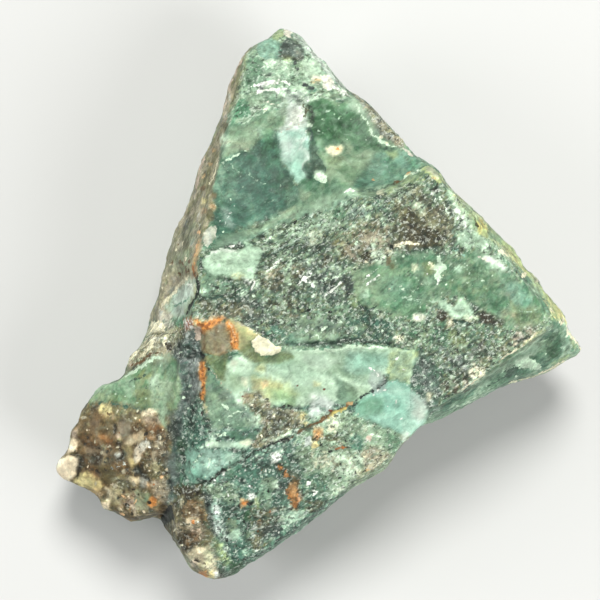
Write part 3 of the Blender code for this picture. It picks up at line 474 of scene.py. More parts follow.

# the broad granular face, its right rim and the layer below it
# the glossy facet, with its highlight painted on as a white streak with a pinkish left end
BROAD_MARKS = """
# broad drifts of tone across the granular face
area jade_light m.5 e9 r6 g.85 : 262,234 300,218 336,206 356,202 344,226 306,240 272,250
area aqua_light m.24 e7 r5 g.8 : 300,214 340,202 384,192 398,196 372,214 340,220 306,232
area slate_dark m.45 e8 r6 g1 : 262,268 300,258 332,262 330,284 296,292 262,292
area slate m.6 e8 r5 g1 : 202,300 232,296 256,300 264,322 250,326 230,318 206,314
area jade_mid m.4 e8 r6 g1 : 300,300 340,290 372,300 372,340 320,342
area sage m.4 e9 r6 g1 : 340,262 372,256 392,268 376,296 350,292
area jade_deep m.35 e9 r6 g1 : 400,318 440,312 466,330 450,348 404,344
area olive_smooth m.6 e7 r5 g.5 : 442,266 474,252 504,270 512,296 500,310 470,302 446,296
area jade_dark m.35 e8 r5 g1 : 345,300 392,312 396,342 350,344
area slate_violet m.4 e8 r6 g1 : 436,346 470,344 486,352 470,372 440,372
area slate_violet m.3 e8 r6 g1 : 284,236 320,224 342,232 338,262 300,258
# pale patch at the upper left, layered
area mint_plate m.95 l.16 e1.9 g.3 s.4 : 203,262 207,256 213,251 222,249 229,250 236,251 243,250 247,247 243,242 246,240 252,244 259,248 262,251 260,258 260,262 256,268 254,275 250,280 241,279 234,281 231,278 222,276 212,276 205,270
area mint m.55 e1.5 g.3 s.4 : 203,262 207,256 213,251 222,249 229,250 236,251 243,250 247,247 243,242 246,240 252,244 259,248 262,251 260,258 260,262 256,268 254,275 250,280 244,281 240,277 234,281 231,276 222,274 214,277 210,273 205,270
area mint_pale m.7 e2.5 g.2 s.5 : 207,256 214,251 224,250 236,251 247,248 258,248 261,254 252,260 236,260 220,262 208,264
area jade_mid m.55 e5 g.35 s.45 : 202,268 214,272 232,280 232,294 222,300 204,300 198,282
line white w2.4 m.9 b.15 e1.4 : 206,257 214,252 222,250 231,251 239,252
area jade_light m.6 e3 : 212,264 236,262 250,266 246,276 226,276
area jade_dark m.6 l-.2 e2 : 229,243 236,242 244,243 246,248 240,250 231,249
spot white w4 h3 m.95 : 232,246
line white w2.4 m.95 l.1 : 243,278 247,281 250,283
line black_green w2.4 m.9 l-.15 : 243,281 248,284 250,289 248,294
line white w2.5 m.9 l.1 : 252,279 254,284 252,290
area cream_yellow m.55 e2.4 l.1 : 231,272 240,272 246,276 240,280 232,278
area mint m.7 e1.9 l.12 : 199,289 206,288 208,294 201,296
line jade_dark w3 m.85 l-.2 : 203,300 211,298 220,297 230,299 238,295
area mint_pale m.75 e1.9 l.1 : 240,290 245,289 247,293 241,295
line jade_dark w2.5 m.7 b.3 l-.1 : 208,276 220,279 232,282 240,286
spot black_green w4 h3 m.8 : 216,287 236,290 222,303 248,300
spot mint_pale w3 h2.5 m.75 f1 : 210,284 219,292 214,302 232,306 250,308 262,300 246,314 226,312
# dark grey-brown patches and white chains
area granular_black m.7 e3 r3 b.35 l-.08 : 262,270 276,266 286,274 284,290 270,292 260,284
area granular_black m.6 e3 r3 b.35 : 289,265 300,263 307,272 300,281 290,278
area granular_black m.6 e3 r3 b.35 l-.08 : 317,255 328,253 334,262 326,268 317,264
area granular_black m.45 e3 r3 b.45 : 264,300 290,296 314,304 300,318 270,316
area slate_dark m.5 e3 r3 b.45 : 230,300 262,304 276,320 250,322 226,312
area slate_dark m.5 e4 r3 b.4 : 316,276 340,270 352,286 344,304 322,298
line mint_pale w4.5 m.75 b.3 l.1 e1.9 : 263,275 267,271 273,266 281,258 288,250
line white w2.4 m.95 b.2 e1.4 : 264,274 272,267 281,259
line white w2 m.95 l.1 e1.2 : 297,271 302,276 308,282 315,289
line white w1.6 m.95 e1.2 : 297,286 302,281 307,277 311,273
spot black_green w3 h3 m.85 l-.12 : 310,279
spot mint_pale w4 h3 m.9 : 314,285
line white w2.2 m1 e1.3 : 323,297 330,291 337,286 343,282
area crumbly_pale m.85 e2 b.15 : 306,230 314,228 322,231 326,238 320,245 310,244
spot black_green w4 h3 m.8 : 315,252 296,221
area jade_deep m.7 e2.5 : 333,208 344,207 350,213 343,219 334,217
area olive m.45 e4 b.3 : 330,232 350,230 354,256 336,260
line mint_pale w2 m.8 b.25 : 262,242 274,236 288,229 300,223
line white w2 m.7 b.4 : 268,256 284,246 302,236
line mint_pale w2.5 m.7 b.4 : 288,262 304,252 318,244
line mint_pale w3 m.65 b.35 : 312,282 322,280 334,277 348,272
line jade_dark w2.5 m.7 b.4 l-.08 : 264,258 280,250 296,240
line jade_dark w2.5 m.7 b.4 : 300,262 314,254 330,246
spot mint_pale w2.5 h2 m.75 f1 : 272,246 279,268 294,258 311,262 301,296 286,304 326,280 318,310 336,318 296,322 278,330 258,326 333,308 268,312 306,330 322,332
spot mint_pale w4 h3 m.85 : 290,284 312,296 282,320 330,326 254,296 342,250 356,244
spot black_green w3 h4 m.8 : 276,282 294,272 284,296 322,260 336,296 308,310 262,322 298,308 330,312
area sage_smooth m.6 e5 r3 : 290,322 318,316 348,322 350,344 318,347 284,347
spot mint_pale w5 h3.5 m.75 : 324,328 334,332 340,322 316,336
area mint m.7 e2 : 291,342 300,339 310,344 312,348 296,348
area granular_brown m.6 e5 r3 : 196,300 222,296 250,304 262,318 240,322 222,316 200,314
line black_green w2.4 m.6 b.3 e1.6 l-.1 : 226,320 240,322 254,328 268,336
area granular_brown m.5 e6 r4 : 262,266 284,262 300,268 296,288 272,292 258,284
# brown field below the ledge
area granular_black m.85 e5 r4 : 396,224 404,214 414,211 420,222 436,225 445,234 446,244 434,250 416,249 402,244
area black_green m.6 e2.5 r2 b.35 l-.1 : 414,233 426,232 428,242 416,244
area black_green m.55 e2.5 r2 b.35 l-.1 : 432,230 446,229 448,240 434,241
area olive_dark m.45 e2.5 r3 b.35 : 408,190 420,186 428,194 418,202 408,199
area granular_black m.5 e3 r3 b.35 : 393,210 404,206 412,218 410,236 396,236
area slate_dark m.5 e4 r3 b.35 : 396,190 408,188 404,204 396,208
area crumbly_pale m.85 l.14 e2 : 411,204 418,201 424,205 427,212 424,218 417,216 412,210
area crumbly_pale m.7 l.1 e2 b.2 : 424,218 432,219 438,226 433,231 426,226
line white w1.4 m.7 b.2 : 434,190 440,198 446,208 450,216
line mint_pale w3 m.8 b.3 : 438,194 442,204 450,212
line white w2 m.8 b.3 : 428,186 436,200 442,214
line cream w4 m.85 l.12 e1.5 b.12 : 391,246 398,245 410,243 420,244
spot black_green w4 h7 m.9 l-.15 : 391.5,248
line jade_dark w5 m.75 l-.15 e2 : 404,250 414,251 426,250 441,247
area mint m.75 b.3 e2 l.08 : 379,217 387,217 388,226 381,227
area mint_pale m.6 e2 : 365,215 370,215 370,220 366,220
area mint_pale m.75 r1 : 371,242 377,242 377,249 372,249
spot mint_pale w2.5 h2 m.75 f1 : 384,232 397,222 402,246 412,229 421,228 430,236 441,236 408,212 392,202 364,206 376,206 352,214 340,224 360,234
area slate m.45 e3 : 340,214 360,206 372,212 352,222
area brown_dark m.55 e3 b.25 g1 : 402,226 418,220 432,230 443,241 426,248 408,243
area olive_dark m.45 e4 b.2 g1 : 398,213 420,206 440,220 445,242 420,249 402,241
# slate and mint sheet right of it
area slate_violet m.4 e2.5 b.2 : 455,220 466,218 471,228 466,236 456,235
spot white w4 h4 m.9 : 466,226 458,219
area mint_plate m.75 e3 b.15 g.6 l.1 : 456,232 470,230 486,230 491,240 486,251 470,250 458,246
area mint_pale m.55 e2 b.2 : 479,240 489,240 491,250 481,252
line teal_mint w4 m.6 b.3 : 452,246 462,254 476,262
area white m.5 e2 b.3 f1 : 452,198 466,206 474,222 468,232 456,222
# yellow and cream rim
area cream_yellow m.7 e2.5 b.25 r2.6 : 446,184 456,188 466,200 478,212 486,222 482,228 474,220 464,210 454,198
line khaki w2.4 m.8 e1.7 b.1 : 448,186.5 461,198.5 474,209.5 485,219.5
area cream_yellow m.85 e1.7 b.15 l.12 : 541,290 548,294 556,304 563,314 559,321 552,315 546,306 541,298
spot cream w5 h5 m.9 e1.7 l.1 : 512,252 521,263 528,272 536,282 552,309 561,322
spot olive_dark w2.4 h2.4 m.7 f1 : 460,194 470,206 482,226 492,234 508,250 518,262 534,284 546,300
area jade_light m.8 e2.5 b.2 : 444,180 456,182 474,196 480,208 466,214 456,206 448,198
area olive m.5 e2.5 b.2 : 453,196 463,196 467,206 457,206
area green_light m.5 e3 g.6 : 464,206 476,210 482,222 476,228 466,220
area yellow m.7 e2 b.2 l.06 : 477,219 485,221 490,231 486,238 479,233
line olive_dark w3 m.75 l-.1 : 473,217 476,222 479,229
area yellow_green m.9 e1.5 l.08 : 481,226 486,229 489,237 483,236
line cream_yellow w3 m.8 b.2 e1.7 : 446,184 456,191 466,200 476,209 486,219 497,230 508,240
area green_light m.75 e4 g.5 : 486,222 500,218 530,244 540,262 520,258 504,248 490,240
area cream_yellow m.3 e3 b.15 : 478,212 500,224 530,250 540,266 520,256 492,236
line cream w2.6 m.9 l.08 : 497,250 502,251 509,257
area yellow_green m.95 e3 g.5 : 500,242 514,240 532,254 540,270 528,274 514,262
area yellow_green m.9 e2.5 g.5 : 516,256 526,254 538,268 536,280 526,277 519,268
spot cream w4 h6 m.95 : 524,275
area taupe m.75 e3 : 530,270 540,268 556,284 550,292 538,286
area yellow m.8 e3 g.5 : 540,284 556,286 566,302 556,306 546,298
area jade_light m.9 e3 g.5 : 528,280 538,284 548,298 552,310 544,302 534,292
area cream_yellow m.95 e2.5 g.5 : 550,302 566,300 582,322 570,328 560,318
area yellow_green m.35 e3 b.2 : 546,298 566,302 582,322 570,328 556,318
area yellow_green m.85 e3 b.2 : 530,278 544,290 556,308 560,320 552,322 548,302
line pink_white w3.5 m.8 e1.2 : 562,318 567,323 568,330
area emerald m.5 e2 : 552,320 561,322 563,331 555,332
line cream_yellow w2.4 m.6 b.3 e1.9 : 488,236 498,244 508,252 518,264 528,274
area sage m.6 e4 g.4 : 513,300 535,304 550,318 543,326 520,316
area sage m.3 e8 g.8 : 452,262 500,262 540,296 524,328 470,318
area jade_deep m.2 e8 : 446,262 500,262 540,296 524,328 470,318
area aqua_light m.26 e4 g.6 : 232,241 262,230 300,212 340,197 346,202 300,219 262,236 240,246
line yellow_green w3 m.6 b.35 e2 : 516,308 530,314 544,322
area streaky_green m.9 e4 r3 g.45 : 468,250 484,252 500,262 512,276 530,286 544,302 548,318 534,326 516,330 500,322 484,312 470,300 462,280 458,262
area olive_green m.4 e4 b.2 g.5 : 512,306 530,304 546,314 536,326 516,328
line olive_green w2.4 m.5 b.2 e2 : 509,290 511,300 514,310 520,318
line mint w1.6 m.6 b.25 e1.6 : 500,276 508,284 514,292
line mint w1.6 m.6 b.3 e1.6 : 494,268 502,276 508,282 516,286
line mint_pale w1.6 m.6 b.3 e1.6 : 520,280 530,286 538,296 541,306
line mint w1.4 m.6 b.3 e1.6 : 518,310 528,312 540,308
line jade_deep w2 m.6 b.2 e1.9 : 534,292 541,300 544,310 541,320
line mint_pale w1.4 m.55 b.35 e1.6 : 464,284 478,292 494,300
# the glossy facet
area mint m.45 e4 g.1 s.8 : 470,254 486,252 500,257 510,267 508,275 494,270 480,264
area white m1 e1.9 g.05 s.8 l.05 : 483,255 490,257 498,261 505,266.5 508,270.5 502,269.5 494,266 487,261.5
line pink_white w2.4 m.85 e1.6 : 476,257 481,258 487,260 493,265
area mint m.3 e3 : 496,262 506,266 510,276 500,276 492,268
area streaky_green m.8 e4 r3 g.4 : 474,264 492,268 508,274 514,292 506,308 484,308 470,292
area mint m.6 e2 b.4 f1 : 490,264 501,265 503,282 492,284
spot mint_pale w1.8 h1.8 m.6 : 494,270 498,277 490,282 486,290 502,286 478,280 482,272 496,296
area mint_pale m.7 e1.9 l.1 : 452,252 458,252 458,257 453,258
area mint_pale m.7 e1.9 l.1 : 455,266 466,265 467,270 456,272
spot mint_pale w4 h4 m.9 : 454,262 466,264 444,260
area aqua m.5 e2.5 g.3 s.5 : 513,294 520,290 530,293 534,298 528,306 519,307 512,302
area lilac m.35 e2 : 504,286 514,285 516,300 506,300
area emerald m.55 e2 : 540,303 547,303 548,312 542,313
area teal_mint m.55 e4 g.3 : 500,282 516,280 528,288 516,292 502,290
# pale plates right of the middle
area mint_plate m.95 l.2 e1.9 r1.4 : 431,299 440,299 448,303 453,306 458,302 459,297 463,297 468,303 472,308 474,314 479,319 470,320 462,318 456,320 451,318 447,311 440,307 435,304
area cream m.6 e2 : 464,315 475,315 477,319 470,321 465,319
line jade_dark w2.4 m.8 l-.2 : 449,318 456,321 465,322 474,323 480,319
area brown_dark m.85 e2 b.12 l-.14 : 437,309 443,309 448,313 448,320 442,323 437,317
area brown_dark m.7 e3 b.12 l-.14 : 478,314 484,311 490,314 497,318 503,319 503,325 495,324 488,326 480,322
area olive m.3 e3 b.25 : 502,310 515,309 518,320 505,323
area beige m.5 e3 b.35 : 500,312 514,312 516,318 503,320
spot mint_pale w2.5 h2.5 m.75 f1 : 484,302 508,306 520,322 532,324 498,330 512,332 488,336 472,334 462,330 478,342 496,344
# middle of the broad face: smooth streaky green, paler at its left end
area streaky_green m.92 e3 r3 g.4 : 351,274 366,263 380,264 392,256 402,252 424,250 444,256 466,260 486,266 500,274 508,290 500,306 484,310 470,302 458,296 442,298 428,306 424,316 404,318 386,314 372,308 360,304 354,290
area olive_smooth m.5 e6 r4 g.4 : 446,268 474,266 496,278 500,298 478,306 456,294 444,284
area teal m.3 e5 : 380,288 402,284 424,292 424,304 400,308 382,302
line mint w1.6 m.6 b.3 e1.6 : 396,292 410,297 424,300 440,303
line mint w1.6 m.55 b.35 e1.6 : 404,274 418,280 430,290
line mint w1.4 m.55 b.35 e1.6 : 448,272 460,280 474,286
line mint_pale w1.4 m.5 b.35 e1.6 : 456,262 470,270 484,284
line mint w1.4 m.5 b.35 e1.6 : 374,296 388,304 404,308
line jade_deep w2 m.5 b.3 e1.9 : 406,282 424,286 440,292
line jade_deep w2 m.5 b.3 e1.9 : 452,276 470,292 486,300
spot mint w7.5 h7 m.85 e1.8 l.1 : 459,269
spot mint_pale w2 h1.8 m.65 f1 : 376,286 382,278 390,292 396,300 404,288 410,296 418,288 426,292 434,286 446,292 452,282 460,290 468,282 476,290 482,280 470,274 450,264 462,262 478,262 486,288 492,276 374,302 388,308 402,312 414,308 366,274 378,268 398,262 410,260 424,258
spot jade_dark w2 h1.8 m.6 f1 : 380,296 392,284 400,276 412,284 422,278 430,298 448,276 456,298 466,296 474,278 480,298 490,284 386,272 372,280 396,308 408,302
spot cream w2 h2 m.65 f1 : 432,264 444,276 420,284 454,276 390,288 372,292
area jade_deep m.5 e3 b.2 : 399,258 420,255 438,254 436,264 414,266 400,266
area taupe m.55 e6 r4 b.3 : 342,232 372,226 392,236 390,262 362,268 344,258
area cream m.75 e1.9 l.1 : 386,250 393,250 395,257 388,258
spot orange w2.4 h2.4 m.7 : 388,258 389,263
area brown m.7 e1.5 : 385,257 391,257 391,266 386,267
area olive m.7 e1.8 l-.06 : 389,262 393,262 394,269 390,270
area mint_pale m.75 e2 b.2 l.08 : 371,252 380,250 387,255 384,263 374,263
spot cream w4 h4 m.9 : 366,262
area olive_dark m.75 e2 b.25 l-.1 : 357,253 368,250 371,256 364,264 358,262
line brown_dark w2 m.85 l-.1 : 359,260 365,253 372,250
area green_light m.25 e5 g.3 : 380,270 392,268 402,272 410,276 415,285 420,295 425,300 415,315 400,316 388,310 375,300 370,290 372,280
area sage m.75 e3 g.5 : 352,272 372,270 376,284 368,292 353,290
area teal_mint m.35 e5 : 384,276 400,276 410,286 404,298 388,292
line white w1.8 m.8 b.1 l.06 : 361,283 368,276 375,270
line white w1.6 m.7 b.15 : 364,288 372,280 380,274
area mint_pale m.6 e1.8 b.25 : 359,288 370,287 371,297 361,298
area olive_green m.5 e2.2 l.1 g.3 : 350,292 357,290 361,298 362,305 358,309 352,307
line jade_dark w2.6 m.9 l-.15 : 359,300 362,308 368,311 374,308 378,304
area slate_dark m.7 e2.5 b.3 l-.08 : 341,275 351,273 354,286 352,300 343,300
spot black_green w3.6 h3 m.85 e1.6 l-.15 : 408,273
area cream m.65 e1.9 l.1 : 410,264 418,263 419,270 412,271
area mint_pale m.85 e1.6 b.12 l.12 : 437,255 441,255 441,264 447,265 446,271 441,272 442,280 435,281 433,276 436,271 430,270 430,266 436,265
area cream m.6 e1.6 b.15 : 426,262 432,260 434,268 428,271
area mint_pale m.5 e1.8 l.08 b.2 : 423,278 431,277 433,284 425,285
spot white w4 h3 m.95 : 428,275 437,282
area olive_green m.7 e2 : 423,262 434,261 436,272 425,279
line mint w2.2 m.6 b.3 e1.7 : 402,297 412,300 421,302
area green m.5 e3 g.5 : 398,305 412,304 426,308 424,316 404,317
area pink_white m.65 e2 l.08 : 412,314 427,313 428,320 414,322
area beige m.7 e2 b.2 : 445,315 453,316 453,328 446,328
line mint_pale w2.4 m.8 b.3 : 396,284 406,290 416,292
spot mint_pale w2.5 h2.5 m.75 f1 : 396,262 404,256 417,254 426,252 430,262 446,284 442,292 430,296 421,308 436,302 388,304 378,314 394,322 412,328 428,324 440,330 456,338 402,336 382,330 366,324 354,316
area teal_dark m.5 e4 b.3 g1 : 346,312 372,316 396,324 394,344 356,344 345,332
area cream m.7 e1.9 l.1 : 394,338 401,333 407,337 405,343 397,344
area sage m.45 e2 s.5 g.3 : 419,328 430,327 431,340 421,341
area olive_green m.5 e4 b.2 : 448,330 468,328 472,346 452,350
area cream m.6 e2 b.4 f1 : 468,364 484,362 487,378 472,382
area pink_white m.4 e3 b.35 f1 : 440,380 458,378 472,380 466,392 446,395
area brown_dark m.5 e2 b.5 f1 : 442,380 470,376 470,392 446,394
area lilac m.3 e4 b.35 : 438,346 460,344 472,352 466,370 442,372
area mint_pale m.6 e1.9 l.12 : 470,378 477,377 480,381 476,386 470,384
area pink_beige m.5 e4 b.15 : 512,328 526,322 540,328 532,342 516,350
line cream_yellow w2.4 m.6 b.2 e1.9 l.06 : 518,348 528,341 538,334 549,326
line cream w2.2 m.85 b.15 : 500,361 512,352 524,345
line cream w2.2 m.8 b.2 : 462,390 476,380 490,369
line olive_dark w1.8 m.45 l-.25 e1.9 : 553,325 546,331 536,339 526,347 518,352 509,359 500,365 490,373 480,381 470,388
line jade_dark w2 m.35 l-.15 e2 : 470,388 460,395 452,400 444,406
spot mint_pale w2.5 h2.5 m.75 f1 : 444,352 452,360 460,368 466,356 478,356 486,352 494,356 474,370 454,376 446,386 462,384 500,346 512,342
area brown_dark m.16 e6 g1 : 398,213 442,220 447,244 408,242
area mint m.12 e6 g1 : 278,228 330,213 382,203 374,227 300,247
area cream_yellow m.15 e3 g.6 : 448,188 482,220 492,236 480,234 460,212
area olive_green m.18 e3 g.6 : 540,283 562,308 564,322 546,307
area granular m.45 e6 r3 g1 : 394,184 442,182 450,204 424,212 396,206
area granular m.4 e5 r3 g1 : 386,204 402,200 404,240 388,244
area brown_dark m.3 e5 g1 : 404,224 432,226 440,242 410,243
"""
